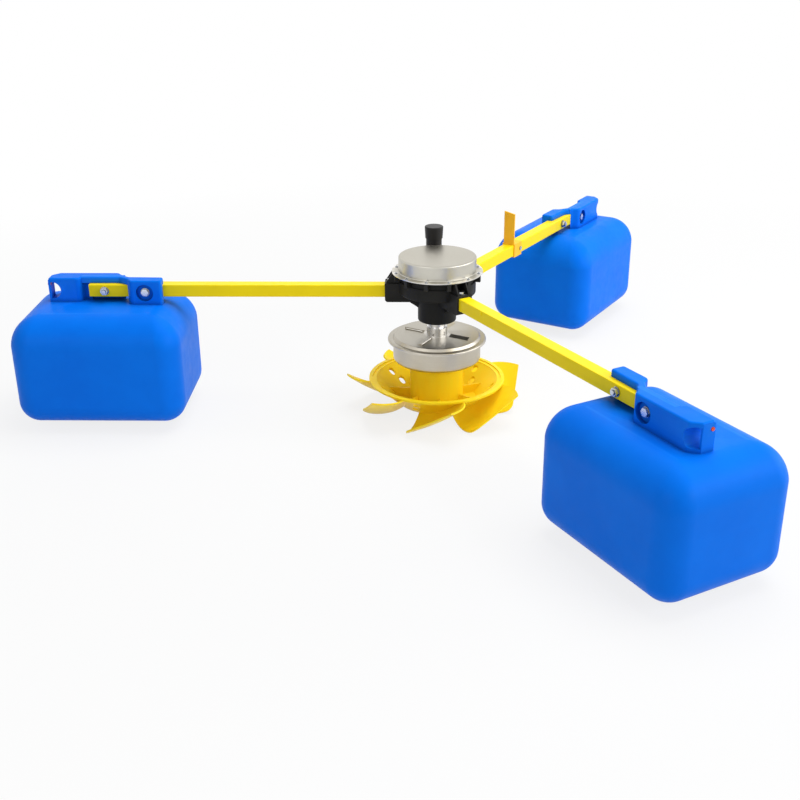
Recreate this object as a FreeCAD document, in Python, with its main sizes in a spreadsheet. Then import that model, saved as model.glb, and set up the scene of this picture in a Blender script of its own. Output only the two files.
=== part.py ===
import FreeCAD, Part
import math
import os
import Sketcher
from FreeCAD import Placement, Rotation, Vector

# Pond aerator: three floats on square arms carry a sealed motor, which turns a drum and a bladed
# impeller in the water below it. Lengths are in millimetres and angles in degrees.
#
# Every piece is drawn in the hub frame. Its Z axis is the impeller's axis, its height 0 is the middle
# of the arms, and its X axis runs out along the left arm. The part's own origin is the centre of the
# motor cover's flat top, so each piece is then lowered by the height of that top.

SIZES = [
    ("arm_width", 30.0, "square arm tube, across its flats"),
    ("arm_wall", 2.0, "wall of the arm tube"),
    ("arm_start", 62.0, "inner end of an arm, from the impeller's axis"),
    ("arm_end", 844.0, "outer end of an arm, from the impeller's axis"),
    ("slide_gap", 0.3, "gap on each side of a tube in its socket or saddle"),
    ("seat_gap", 0.05, "radial gap of a seated ring or shaft"),
    ("hole_gap", 0.3, "radial gap of a bolt in its hole"),

    ("cover_top", 84.7, "top of the motor cover"),
    ("cover_radius", 93.6, "outside of the cover's wall"),
    ("cover_sheet", 2.0, "thickness of the cover's sheet"),
    ("cover_edge", 4.0, "rounding of the cover's top edge"),
    ("cover_flange_radius", 109.4, "outside of the cover's flange"),
    ("gasket_thickness", 2.4, "gasket under the cover's flange"),
    ("rim_height", 44.0, "top of the housing's rim"),
    ("rim_radius", 100.0, "outside of the housing's rim"),
    ("rim_thickness", 3.0, "thickness of the housing's rim"),
    ("screw_circle_radius", 102.0, "radius of the circle of cover screws"),
    ("screw_count", 12.0, "number of cover screws"),
    ("screw_first_angle", 15.0, "first cover screw, from the left arm"),
    ("screw_radius", 2.4, "cover screw's shank"),
    ("screw_head_radius", 3.6, "cover screw's head"),
    ("screw_head_height", 2.0, "cover screw's head"),
    ("screw_length", 16.0, "cover screw, under its head"),
    ("boss_width", 9.0, "boss under each cover screw"),
    ("boss_reach", 106.0, "outer face of a screw boss"),
    ("boss_foot", 28.0, "lower end of a screw boss"),

    ("housing_radius", 93.0, "lower band of the motor housing"),
    ("upper_band_radius", 90.0, "upper band of the motor housing"),
    ("band_step", 26.0, "height where the two bands meet"),
    ("skirt_bottom", -5.0, "lower edge of the housing's band"),
    ("skirt_wall", 5.0, "wall of the housing's band"),
    ("skirt_edge", 3.5, "rounding of the band's lower edge"),
    ("chamber_radius", 86.0, "inside of the motor chamber"),
    ("chamber_floor", 20.0, "top of the chamber's floor"),
    ("floor_thickness", 6.0, "thickness of the chamber's floor"),
    ("neck_radius", 46.7, "outside of the housing's neck"),
    ("neck_bottom", -76.0, "lower end of the neck"),
    ("neck_edge", 3.0, "rounding of the neck's lower edge"),

    ("socket_start", 38.0, "root of an arm socket, inside the neck's wall"),
    ("socket_end", 126.0, "mouth of an arm socket"),
    ("socket_width", 40.0, "arm socket, across"),
    ("socket_top", 20.0, "top of an arm socket"),
    ("socket_bottom", -26.0, "bottom of an arm socket"),
    ("socket_edge", 3.0, "how far a rib is sunk into its socket"),
    ("socket_chamfer", 4.5, "chamfer of a socket's lower outer edge"),
    ("nut_recess", 8.0, "recess for the nut under a socket"),
    ("gusset_depth", 18.0, "gusset from a socket to the neck"),
    ("gusset_width", 12.0, "gusset from a socket to the neck"),
    ("bracket_spacing", 28.0, "between the two ribs above a socket"),
    ("bracket_thickness", 4.0, "rib above a socket"),
    ("bracket_top_reach", 109.0, "outer end of a rib at the rim"),
    ("arm_bolt_place", 111.0, "upright bolt of an arm, from the axis"),

    ("connector_x", -8.0, "cable connector, to the right of the axis"),
    ("connector_y", 130.0, "cable connector, behind the axis"),
    ("connector_radius", 19.6, "body of the cable connector"),
    ("connector_foot", 30.0, "underside of the connector's body"),
    ("connector_bracket_thickness", 12.0, "bracket under the connector"),
    ("connector_bracket_width", 30.0, "bracket under the connector"),
    ("connector_collar_radius", 22.2, "collar where the body meets its bracket"),
    ("connector_collar_height", 8.0, "collar where the body meets its bracket"),
    ("connector_spigot_radius", 16.0, "threaded end inside the cap"),
    ("connector_bore", 11.0, "radius of the passage for the cable"),
    ("cap_bottom", 92.0, "lower edge of the connector's cap"),
    ("cap_top", 122.0, "top of the connector's cap"),
    ("cap_radius", 23.2, "outside of the connector's cap at its top"),
    ("cap_draft", 1.6, "how much slimmer the cap is at its lower edge"),
    ("cap_edge", 2.5, "rounding of the cap's top edge"),

    ("shaft_radius", 15.0, "main length of the drive shaft"),
    ("shaft_top_radius", 12.5, "shaft in the upper bearing and below the drum"),
    ("rotor_seat_radius", 17.0, "shaft under the rotor core"),
    ("lower_bearing_radius", 31.0, "outside of the lower bearing"),
    ("lower_bearing_top", -36.0, "upper face of the lower bearing"),
    ("lower_bearing_height", 16.0, "height of the lower bearing"),
    ("upper_bearing_radius", 26.0, "outside of the upper bearing"),
    ("upper_bearing_bottom", 59.0, "lower face of the upper bearing"),
    ("upper_bearing_height", 15.0, "height of the upper bearing"),
    ("bearing_lip", 4.0, "shoulder that stops a bearing's outer ring"),
    ("circlip_thickness", 2.0, "retaining ring under the lower bearing"),
    ("circlip_depth", 2.0, "depth of the retaining ring's groove"),
    ("seal_height", 9.0, "shaft seal at the neck's mouth"),
    ("seal_bottom", -71.0, "lower face of the shaft seal"),
    ("shield_radius", 89.5, "outside of the upper end shield"),
    ("shield_top", 76.0, "top of the upper end shield"),
    ("shield_plate", 4.0, "plate of the upper end shield"),
    ("tie_bolt_circle", 81.0, "radius of the circle of tie bolts"),
    ("tie_bolt_radius", 2.5, "tie bolt through the stator"),
    ("tie_bolt_count", 4.0, "number of tie bolts"),

    ("stator_bottom", 31.0, "lower face of the stator stack"),
    ("stator_height", 24.0, "height of the stator stack"),
    ("stator_bore", 50.0, "inner radius of the stator"),
    ("stator_yoke", 10.0, "radial thickness of the stator's ring"),
    ("tooth_width", 11.0, "stator tooth"),
    ("tooth_count", 12.0, "number of stator teeth"),
    ("coil_thickness", 4.5, "winding around each tooth"),
    ("rotor_radius", 44.0, "rotor core"),
    ("magnet_thickness", 3.5, "magnet on the rotor core"),
    ("magnet_width", 21.0, "magnet on the rotor core"),
    ("magnet_count", 10.0, "number of magnets"),

    ("sleeve_radius", 20.7, "slim upper length of the shaft sleeve"),
    ("sleeve_groove_radius", 18.5, "groove of the shaft sleeve"),
    ("sleeve_groove_top", -90.0, "upper edge of the sleeve's groove"),
    ("sleeve_groove_width", 4.0, "groove of the shaft sleeve"),
    ("sleeve_foot_radius", 25.0, "wide lower length of the shaft sleeve"),

    ("lid_top", -114.4, "flat top of the drum's lid"),
    ("lid_radius", 104.0, "flat top of the drum's lid"),
    ("lid_step_radius", 108.0, "foot of the lid's raised middle"),
    ("lid_step", 7.0, "drop from the lid's top to its flange"),
    ("lid_edge", 2.0, "rounding of the lid's top edge"),
    ("rim_bead", 4.0, "rounding of the drum's rolled rim"),
    ("drum_flange_radius", 120.6, "outside of the drum's rolled rim"),
    ("drum_sheet", 1.5, "thickness of the lid's and drum's sheet"),
    ("drum_rim_height", 6.0, "depth of the lid's turned-down rim"),
    ("drum_radius", 107.5, "outside of the drum's wall"),
    ("drum_bottom", -177.0, "underside of the drum"),
    ("drum_edge", 7.0, "rounding of the drum's lower edge"),
    ("louvre_start", 36.0, "inner end of a louvre in the lid"),
    ("louvre_length", 51.0, "length of a louvre"),
    ("louvre_width", 12.0, "width of a louvre"),
    ("louvre_rise", 4.5, "height of a louvre's open side"),
    ("louvre_count", 4.0, "number of louvres"),
    ("louvre_angle", -29.0, "first louvre, measured from the right"),
    ("spacer_radius", 19.0, "spacer tube inside the drum"),

    ("hub_radius", 66.0, "outside of the impeller's hub"),
    ("hub_wall", 5.0, "wall of the impeller's hub"),
    ("hub_plate", 8.0, "plate on top of the hub"),
    ("hub_boss_radius", 26.0, "boss around the shaft, inside the hub"),
    ("hub_boss_length", 36.0, "boss around the shaft, with the plate"),
    ("ring_radius", 168.4, "outer edge of the impeller's ring"),
    ("ring_top", -226.7, "top of the impeller's ring"),
    ("ring_thickness", 4.5, "thickness of the ring's outer edge"),
    ("ring_land", 9.0, "width of each of the ring's two lands"),
    ("ring_step", 3.0, "drop between the ring's two lands"),
    ("bowl_shoulder", 161.0, "where the bowl's outside meets the ring"),
    ("bowl_bottom_radius", 97.0, "lower edge of the bowl's outside"),
    ("impeller_bottom", -288.0, "lowest face of the impeller"),
    ("bowl_wall", 4.0, "radial thickness of the bowl's slanted wall"),
    ("bowl_floor", 5.0, "thickness of the bowl's floor"),
    ("rib_top", -262.0, "top of the ribs inside the bowl"),
    ("rib_thickness", 4.0, "rib inside the bowl"),
    ("rib_angle", 31.0, "rib, measured from the blade's straight direction"),
    ("blade_count", 7.0, "number of blades, ribs and hole pairs"),
    ("blade_angle", -61.7, "first blade's straight direction, from the right"),
    ("blade_thickness", 4.0, "thickness of a blade"),
    ("blade_corner", 16.0, "rounding of a blade's lower outer corner"),
    ("blade_root", 86.0, "a blade's inner section, along its straight direction"),
    ("blade_middle", 145.0, "a blade's middle section"),
    ("blade_reach", 192.5, "a blade's outer end"),
    ("root_low_side", -7.0, "inner section's lower edge, to the side"),
    ("middle_low_side", -5.0, "middle section's lower edge, to the side"),
    ("end_low_side", -2.0, "outer end's lower edge, to the side"),
    ("root_high_side", 92.0, "inner section's upper edge, to the side"),
    ("middle_high_side", 132.0, "middle section's upper edge, to the side"),
    ("end_high_side", 119.0, "outer end's upper edge, to the side"),
    ("middle_low", -316.0, "lowest edge of a blade, at its middle section"),
    ("end_low", -301.0, "lower edge of a blade's outer end"),
    ("blade_top", -232.0, "upper edge of a blade"),
    ("root_belly", 12.0, "hollow of the inner section"),
    ("middle_belly", 7.0, "hollow of the middle section"),
    ("end_belly", 2.0, "hollow of the outer end"),
    ("port_radius", 8.5, "hole through the bowl's wall"),
    ("port_outer_circle", 137.0, "outer hole of a pair"),
    ("port_inner_circle", 114.0, "inner hole of a pair"),
    ("port_outer_angle", 54.0, "outer hole, from the blade's straight direction"),
    ("port_inner_angle", 48.0, "inner hole, from the blade's straight direction"),
    ("hub_bolt_circle", 45.0, "radius of the circle of hub bolts"),
    ("hub_bolt_radius", 4.0, "bolt between drum and hub"),
    ("hub_bolt_count", 4.0, "number of hub bolts"),
    ("nut_flats", 36.0, "shaft nut, across its flats"),
    ("nut_height", 14.0, "shaft nut"),
    ("washer_radius", 22.0, "washer on the shaft nut"),
    ("washer_thickness", 3.0, "washer on the shaft nut"),

    ("float_start", 608.0, "inner side of a float, from the axis"),
    ("float_length", 405.0, "float, along its arm"),
    ("float_width", 300.0, "float, across its arm"),
    ("float_height", 266.0, "float, from its deck to its underside"),
    ("float_offset", 16.8, "middle of a float, beside its arm"),
    ("float_deck", -28.8, "top of a float"),
    ("float_wall", 4.0, "wall of the hollow float"),
    ("float_top_edge", 74.0, "rounding of a float's top edges"),
    ("float_corner", 52.0, "rounding of a float's upright edges"),
    ("float_bottom_edge", 51.0, "rounding of a float's lower edges"),

    ("saddle_top", 30.5, "top of the saddle"),
    ("saddle_start", 664.0, "inner end of the saddle"),
    ("saddle_end", 943.0, "outer end of the saddle"),
    ("saddle_inner_side", 33.0, "outside of the saddle's inner cheek"),
    ("saddle_outer_side", -35.0, "outside of the saddle's outer cheek"),
    ("saddle_lip", 0.0, "inner edge of the lip over the arm"),
    ("cheek_end", 738.0, "where the inner cheek turns across the arm"),
    ("cross_end", 780.0, "where the outer cheek begins"),
    ("outer_lip", -10.0, "inner edge of the outer cheek's lip"),
    ("block_start", 862.0, "where the solid outer block begins"),
    ("block_side", 12.0, "inner side of the outer block"),
    ("saddle_slant", 18.0, "slanted corner at the saddle's outer end"),
    ("saddle_edge", 6.0, "rounding of the saddle's end corners"),
    ("saddle_bend", 12.0, "rounding where the saddle crosses the arm"),
    ("saddle_top_edge", 4.5, "rounding of the saddle's top edge"),
    ("recess_radius", 21.0, "round recess around a bolt head"),
    ("recess_depth", 9.0, "depth of that recess"),
    ("inner_bolt_place", 705.0, "inner float bolt, from the axis"),
    ("outer_bolt_place", 806.0, "outer float bolt, from the axis"),
    ("eye_place", 935.0, "middle of the mooring eye, from the axis"),
    ("eye_radius", 21.0, "mooring eye, which opens the saddle's end"),
    ("fin_thickness", 5.0, "upright fin that closes the mooring eye"),
    ("fin_top", 26.0, "top of that fin"),
    ("plug_radius", 3.6, "small plug in the fin"),
    ("plug_height", 15.0, "small plug, above the arm's middle"),
    ("plug_side", 5.0, "small plug, beside the arm's middle"),
    ("plug_head", 2.0, "how far the plug stands out of the fin"),

    ("bolt_radius", 5.0, "shank of an arm or float bolt"),
    ("bolt_flats", 16.0, "bolt head and nut, across the flats"),
    ("bolt_flange_radius", 10.5, "flange under a bolt head or nut"),
    ("bolt_flange", 2.0, "flange under a bolt head or nut"),
    ("bolt_head", 7.0, "height of a bolt head, with its flange"),
    ("bolt_nut", 9.0, "height of a nut, with its flange"),
    ("bolt_spare", 3.0, "length of bolt past its nut"),

    ("clip_start", 386.0, "inner end of the cable clip, from the axis"),
    ("clip_length", 42.0, "cable clip, along the arm"),
    ("clip_wall", 3.0, "band of the cable clip"),
    ("clip_gap", 0.2, "gap between the clip and its arm"),
    ("clip_tab_top", 105.0, "top of the clip's upright tab"),
    ("clip_tab_thickness", 4.0, "upright tab"),
    ("clip_tab_width", 30.0, "upright tab"),
    ("clip_tab_slope", 6.0, "fall of the tab's top edge"),
    ("clip_screw_place", 420.0, "screw of the cable clip, from the axis"),
    ("clip_screw_radius", 2.5, "screw of the cable clip"),
    ("clip_screw_head", 5.0, "head radius of the clip's screw"),
    ("arm_screw_place", 220.0, "small screw in the front arm, from the axis"),
    ("arm_screw_height", 7.5, "small screw above the arm's middle"),
    ("arm_screw_head", 4.0, "head radius of the small screw"),
]

ARM_AZIMUTHS = [("left", 180.0), ("front", 300.0), ("rear", 60.0)]
HEXAGON = 6


class Size:
    """A length or an angle that holds its number and the formula that gives it."""

    def __init__(self, value, formula):
        self.value = value
        self.formula = formula

    def __add__(self, other):
        other = as_size(other)
        return Size(self.value + other.value, "(%s + %s)" % (self.formula, other.formula))

    def __sub__(self, other):
        other = as_size(other)
        return Size(self.value - other.value, "(%s - %s)" % (self.formula, other.formula))

    def __rsub__(self, other):
        return as_size(other) - self

    def __mul__(self, other):
        other = as_size(other)
        return Size(self.value * other.value, "(%s * %s)" % (self.formula, other.formula))

    def __truediv__(self, other):
        other = as_size(other)
        return Size(self.value / other.value, "(%s / %s)" % (self.formula, other.formula))

    def __neg__(self):
        return Size(-self.value, "(0 - %s)" % self.formula)


def as_size(item):
    if isinstance(item, Size):
        return item
    return Size(float(item), "%.9g" % item if item >= 0 else "(0 - %.9g)" % -item)


def sine(angle):
    return Size(math.sin(math.radians(angle.value)), "sin(%s)" % angle.formula)


def cosine(angle):
    return Size(math.cos(math.radians(angle.value)), "cos(%s)" % angle.formula)


def root(item):
    return Size(math.sqrt(item.value), "sqrt(%s)" % item.formula)


class Dimensions:
    """The spreadsheet's sizes, one attribute each."""

    def __init__(self, document):
        sheet = document.addObject("Spreadsheet::Sheet", "Sizes")
        for row, (alias, value, meaning) in enumerate(SIZES, start=1):
            sheet.set("A%d" % row, alias)
            sheet.set("B%d" % row, str(value))
            sheet.set("C%d" % row, meaning)
            sheet.setAlias("B%d" % row, alias)
            setattr(self, alias, Size(value, "Sizes.%s" % alias))


doc = FreeCAD.newDocument("pond_aerator")
dim = Dimensions(doc)
doc.recompute()

arm_half = dim.arm_width / 2
rotor_top = dim.stator_bottom + dim.stator_height
flange_bottom = dim.rim_height + dim.gasket_thickness
nodes = []


def bind(feature, name, size):
    """Give a property its number and tie it to the spreadsheet."""
    size = as_size(size)
    setattr(feature, name, size.value)
    feature.setExpression(name, size.formula)


def place_in_hub_frame(piece, azimuth):
    """Turn a piece about the impeller's axis and lower it to the part's origin."""
    spin = Rotation(Vector(0, 0, 1), as_size(azimuth).value)
    piece.Placement = Placement(Vector(0, 0, -dim.cover_top.value), spin)
    piece.setExpression("Placement.Base.z", (-dim.cover_top).formula)
    if isinstance(azimuth, Size):
        piece.setExpression("Placement.Rotation.Angle", azimuth.formula)


def new_body(name, azimuth=ARM_AZIMUTHS[0][1]):
    body = doc.addObject("PartDesign::Body", name)
    body.Label = name
    body.AllowCompound = True
    nodes.append(body)
    place_in_hub_frame(body, azimuth)
    return body


def origin_feature(body, role):
    return [item for item in body.Origin.OriginFeatures if item.Role == role][0]


def new_sketch(body, name, plane, offset=0, turned=None):
    """A sketch on one of the body's planes, moved along its normal or turned about the axis Z."""
    sketch = body.newObject("Sketcher::SketchObject", name)
    sketch.AttachmentSupport = [(origin_feature(body, plane), "")]
    sketch.MapMode = "FlatFace"
    offset = as_size(offset)
    if plane == "XZ_Plane":
        offset = -offset
    spin = Rotation()
    if turned is not None:
        spin_axis = Vector(0, 0, 1) if plane == "XY_Plane" else Vector(0, 1, 0)
        spin = Rotation(spin_axis, turned.value)
    sketch.AttachmentOffset = Placement(Vector(0, 0, offset.value), spin)
    sketch.setExpression("AttachmentOffset.Base.z", offset.formula)
    if turned is not None:
        sketch.setExpression("AttachmentOffset.Rotation.Angle", turned.formula)
    return sketch


def tie(sketch, kind, arguments, size):
    """Add one measured constraint and tie it to the spreadsheet."""
    size = as_size(size)
    index = sketch.addConstraint(Sketcher.Constraint(kind, *arguments, size.value))
    sketch.setExpression("Constraints[%d]" % index, size.formula)


def tie_point(sketch, shape, end, point):
    """Hold a point of the sketch at its place, measured from the sketch's origin."""
    for kind, axis, size in (("DistanceX", -2, point[0]), ("DistanceY", -1, point[1])):
        if not isinstance(size, Size) and size == 0:
            sketch.addConstraint(Sketcher.Constraint("PointOnObject", shape, end, axis))
        else:
            tie(sketch, kind, (-1, 1, shape, end), size)


def vector_of(point):
    return Vector(as_size(point[0]).value, as_size(point[1]).value, 0)


def draw_outline(sketch, corners):
    """A closed outline of straight sides through the corners."""
    first = sketch.GeometryCount
    count = len(corners)
    for index in range(count):
        start = vector_of(corners[index])
        finish = vector_of(corners[(index + 1) % count])
        sketch.addGeometry(Part.LineSegment(start, finish), False)
    for index in range(count):
        following = first + (index + 1) % count
        sketch.addConstraint(Sketcher.Constraint("Coincident", first + index, 2, following, 1))
    for index, corner in enumerate(corners):
        tie_point(sketch, first + index, 1, corner)


def draw_box(sketch, left, right, low, high):
    draw_outline(sketch, [(left, low), (right, low), (right, high), (left, high)])


def draw_circle(sketch, centre, radius):
    circle = Part.Circle(vector_of(centre), Vector(0, 0, 1), as_size(radius).value)
    index = sketch.addGeometry(circle, False)
    tie_point(sketch, index, 3, centre)
    tie(sketch, "Radius", (index,), radius)


def draw_hexagon(sketch, centre, flats):
    reach = as_size(flats) / math.sqrt(3)
    corners = []
    for corner in range(HEXAGON):
        turn = math.radians(360.0 * corner / HEXAGON)
        across = as_size(centre[0]) + reach * math.cos(turn)
        along = as_size(centre[1]) + reach * math.sin(turn)
        corners.append((across, along))
    draw_outline(sketch, corners)


def extrude(body, kind, sketch, length, backward):
    feature = body.newObject("PartDesign::%s" % kind, "%s_%s" % (sketch.Name, kind.lower()))
    feature.Profile = sketch
    bind(feature, "Length", length)
    feature.Reversed = backward
    body.Tip = feature
    doc.recompute()
    return feature


def pad(body, sketch, length, backward=False):
    return extrude(body, "Pad", sketch, length, backward)


def pocket(body, sketch, length, backward=False):
    return extrude(body, "Pocket", sketch, length, backward)


def turn_profile(body, kind, sketch):
    feature = body.newObject("PartDesign::%s" % kind, "%s_%s" % (sketch.Name, kind.lower()))
    feature.Profile = sketch
    feature.ReferenceAxis = (sketch, ["V_Axis"])
    feature.Angle = 360.0
    body.Tip = feature
    doc.recompute()
    return feature


def revolve(body, name, corners):
    """Turn a closed outline of radius and height about the axis Z."""
    sketch = new_sketch(body, name, "XZ_Plane")
    draw_outline(sketch, corners)
    return turn_profile(body, "Revolution", sketch)


def groove(body, name, corners):
    """Cut a ring whose section is a closed outline of radius and height."""
    sketch = new_sketch(body, name, "XZ_Plane")
    draw_outline(sketch, corners)
    return turn_profile(body, "Groove", sketch)


def repeat_around(body, features, count):
    pattern = body.newObject("PartDesign::PolarPattern", features[-1].Name + "_around")
    pattern.Originals = features
    pattern.Axis = (origin_feature(body, "Z_Axis"), [""])
    pattern.Angle = 360.0
    count = as_size(count)
    pattern.Occurrences = int(count.value)
    pattern.setExpression("Occurrences", count.formula)
    body.Tip = pattern
    doc.recompute()
    return pattern


def edges_where(feature, accept):
    return ["Edge%d" % number for number, edge in enumerate(feature.Shape.Edges, start=1) if accept(edge)]


def round_edges(body, name, radius, accept):
    """Round each edge of the body's last feature that the test accepts."""
    base = body.Tip
    feature = body.newObject("PartDesign::Fillet", name)
    feature.Base = (base, edges_where(base, accept))
    bind(feature, "Radius", radius)
    body.Tip = feature
    doc.recompute()
    return feature


def close_to(first, second):
    return abs(first - second) < 0.01


def is_level_at(edge, height):
    box = edge.BoundBox
    return close_to(box.ZMin, height.value) and close_to(box.ZMax, height.value)


def is_ring(edge, radius, height):
    """True for a full circle or arc about the axis Z, at a radius and height."""
    if not is_level_at(edge, height) or not isinstance(edge.Curve, Part.Circle):
        return False
    centre = edge.Curve.Center
    return close_to(edge.Curve.Radius, radius.value) and math.hypot(centre.x, centre.y) < 0.01


def make_arm(side, azimuth):
    """Square tube from its socket in the housing to its float's saddle."""
    body = new_body("arm_" + side, azimuth)
    section = new_sketch(body, "section_" + side, "YZ_Plane", dim.arm_start)
    draw_box(section, -arm_half, arm_half, -arm_half, arm_half)
    inside = arm_half - dim.arm_wall
    draw_box(section, -inside, inside, -inside, inside)
    pad(body, section, dim.arm_end - dim.arm_start)
    round_edges(body, "corners_" + side, dim.arm_wall * 0.9,
                lambda edge: is_tube_corner(edge, arm_half.value))
    upright = new_sketch(body, "upright_hole_" + side, "XY_Plane", arm_half)
    draw_circle(upright, (dim.arm_bolt_place, 0), dim.bolt_radius + dim.hole_gap)
    pocket(body, upright, dim.arm_width)
    crossing = new_sketch(body, "crossing_holes_" + side, "XZ_Plane", arm_half)
    draw_circle(crossing, (dim.inner_bolt_place, 0), dim.bolt_radius + dim.hole_gap)
    draw_circle(crossing, (dim.outer_bolt_place, 0), dim.bolt_radius + dim.hole_gap)
    pocket(body, crossing, dim.arm_width, True)
    return body


def is_tube_corner(edge, half):
    box = edge.BoundBox
    return box.XLength > 100 and close_to(abs(box.Center.y), half) and close_to(abs(box.Center.z), half)


def make_motor_housing():
    """Moulded housing: motor chamber, neck for the shaft, three arm sockets and screw bosses."""
    body = new_body("motor_housing")
    bearing_seat = dim.lower_bearing_radius + dim.seat_gap
    shaft_tunnel = dim.lower_bearing_radius - dim.bearing_lip
    rim_underside = dim.rim_height - dim.rim_thickness
    floor_underside = dim.chamber_floor - dim.floor_thickness
    revolve(body, "housing_shell", [
        (shaft_tunnel, dim.chamber_floor),
        (shaft_tunnel, dim.lower_bearing_top),
        (bearing_seat, dim.lower_bearing_top),
        (bearing_seat, dim.neck_bottom),
        (dim.neck_radius, dim.neck_bottom),
        (dim.neck_radius, floor_underside),
        (dim.housing_radius - dim.skirt_wall, floor_underside),
        (dim.housing_radius - dim.skirt_wall, dim.skirt_bottom),
        (dim.housing_radius, dim.skirt_bottom),
        (dim.housing_radius, dim.band_step),
        (dim.upper_band_radius, dim.band_step),
        (dim.upper_band_radius, rim_underside),
        (dim.rim_radius, rim_underside),
        (dim.rim_radius, dim.rim_height),
        (dim.chamber_radius, dim.rim_height),
        (dim.chamber_radius, dim.chamber_floor),
    ])
    round_edges(body, "neck_rounding", dim.neck_edge,
                lambda edge: is_ring(edge, dim.neck_radius, dim.neck_bottom))
    round_edges(body, "skirt_rounding", dim.skirt_edge,
                lambda edge: is_ring(edge, dim.housing_radius, dim.skirt_bottom))
    add_sockets(body)
    add_screw_bosses(body)
    add_connector_bracket(body)
    add_circlip_groove(body)
    return body


def add_sockets(body):
    half = dim.socket_width / 2
    socket = new_sketch(body, "socket", "XZ_Plane", -half)
    draw_outline(socket, [
        (dim.socket_start, dim.socket_bottom),
        (dim.socket_end - dim.socket_chamfer, dim.socket_bottom),
        (dim.socket_end, dim.socket_bottom + dim.socket_chamfer),
        (dim.socket_end, dim.socket_top),
        (dim.socket_start, dim.socket_top),
    ])
    socket_block = pad(body, socket, dim.socket_width, True)

    gusset = new_sketch(body, "gusset", "XZ_Plane", -dim.gusset_width / 2)
    draw_outline(gusset, [
        (dim.socket_start, dim.socket_bottom - dim.gusset_depth),
        (dim.neck_radius, dim.socket_bottom - dim.gusset_depth),
        (dim.neck_radius + dim.gusset_depth * 1.5, dim.socket_bottom),
        (dim.socket_start, dim.socket_bottom),
    ])
    gusset_web = pad(body, gusset, dim.gusset_width, True)

    ribs = []
    for side, name in ((-1, "cw"), (1, "ccw")):
        middle = dim.bracket_spacing / 2 * side
        bracket = new_sketch(body, "bracket_" + name, "XZ_Plane", middle - dim.bracket_thickness / 2)
        draw_outline(bracket, [
            (dim.chamber_radius + dim.skirt_wall / 2, dim.socket_top - dim.socket_edge),
            (dim.socket_end - dim.bracket_thickness / 2, dim.socket_top - dim.socket_edge),
            (dim.socket_end - dim.bracket_thickness, dim.socket_top + dim.bracket_thickness),
            (dim.bracket_top_reach, dim.rim_height),
            (dim.chamber_radius + dim.skirt_wall / 2, dim.rim_height),
        ])
        ribs.append(pad(body, bracket, dim.bracket_thickness, True))
    repeat_around(body, [socket_block, gusset_web] + ribs, len(ARM_AZIMUTHS))

    tube = new_sketch(body, "tube_bore", "YZ_Plane", dim.socket_end)
    reach = arm_half + dim.slide_gap
    draw_box(tube, -reach, reach, -reach, reach)
    tube_bore = pocket(body, tube, dim.socket_end - dim.arm_start)

    bolt = new_sketch(body, "arm_bolt_hole", "XY_Plane", dim.socket_top)
    draw_circle(bolt, (dim.arm_bolt_place, 0), dim.bolt_radius + dim.hole_gap)
    bolt_hole = pocket(body, bolt, dim.socket_top - dim.socket_bottom)
    nut = new_sketch(body, "arm_nut_recess", "XY_Plane", dim.socket_bottom)
    draw_circle(nut, (dim.arm_bolt_place, 0), dim.bolt_flange_radius + dim.hole_gap)
    nut_space = pocket(body, nut, dim.nut_recess, True)
    repeat_around(body, [tube_bore, bolt_hole, nut_space], len(ARM_AZIMUTHS))


def add_screw_bosses(body):
    half = dim.boss_width / 2
    boss = new_sketch(body, "screw_boss", "XY_Plane", dim.boss_foot, dim.screw_first_angle)
    draw_box(boss, dim.chamber_radius + dim.skirt_wall / 5, dim.boss_reach, -half, half)
    block = pad(body, boss, dim.rim_height - dim.boss_foot)
    repeat_around(body, [block], dim.screw_count)
    hole = new_sketch(body, "screw_hole", "XY_Plane", dim.rim_height, dim.screw_first_angle)
    draw_circle(hole, (dim.screw_circle_radius, 0), dim.screw_radius + dim.seat_gap)
    bore = pocket(body, hole, dim.screw_length)
    repeat_around(body, [bore], dim.screw_count)
    tie_hole = new_sketch(body, "tie_hole", "XY_Plane", dim.rim_height, Size(45.0, "45"))
    draw_circle(tie_hole, (dim.tie_bolt_circle, 0), dim.tie_bolt_radius + dim.seat_gap)
    tie_bore = pocket(body, tie_hole, dim.rim_height - dim.chamber_floor + dim.floor_thickness)
    repeat_around(body, [tie_bore], dim.tie_bolt_count)


def add_connector_bracket(body):
    """Flat bracket behind the housing that carries the upright cable connector."""
    half = dim.connector_bracket_width / 2
    foot = dim.connector_foot - dim.connector_bracket_thickness
    centre = (-dim.connector_x, -dim.connector_y)
    web = new_sketch(body, "connector_web", "XY_Plane", foot)
    draw_box(web, centre[0] - half, centre[0] + half, centre[1], -dim.chamber_radius - dim.skirt_wall / 2)
    pad(body, web, dim.connector_bracket_thickness)
    pad_end = new_sketch(body, "connector_seat", "XY_Plane", foot)
    draw_circle(pad_end, centre, dim.connector_collar_radius)
    pad(body, pad_end, dim.connector_bracket_thickness)
    passage = new_sketch(body, "connector_passage", "XY_Plane", dim.connector_foot)
    draw_circle(passage, centre, dim.connector_bore)
    pocket(body, passage, dim.connector_bracket_thickness)


def add_circlip_groove(body):
    top = dim.lower_bearing_top - dim.lower_bearing_height
    seat = dim.lower_bearing_radius
    groove(body, "circlip_groove", [
        (seat - dim.bearing_lip / 2, top),
        (seat + dim.circlip_depth, top),
        (seat + dim.circlip_depth, top - dim.circlip_thickness),
        (seat - dim.bearing_lip / 2, top - dim.circlip_thickness),
    ])


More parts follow.
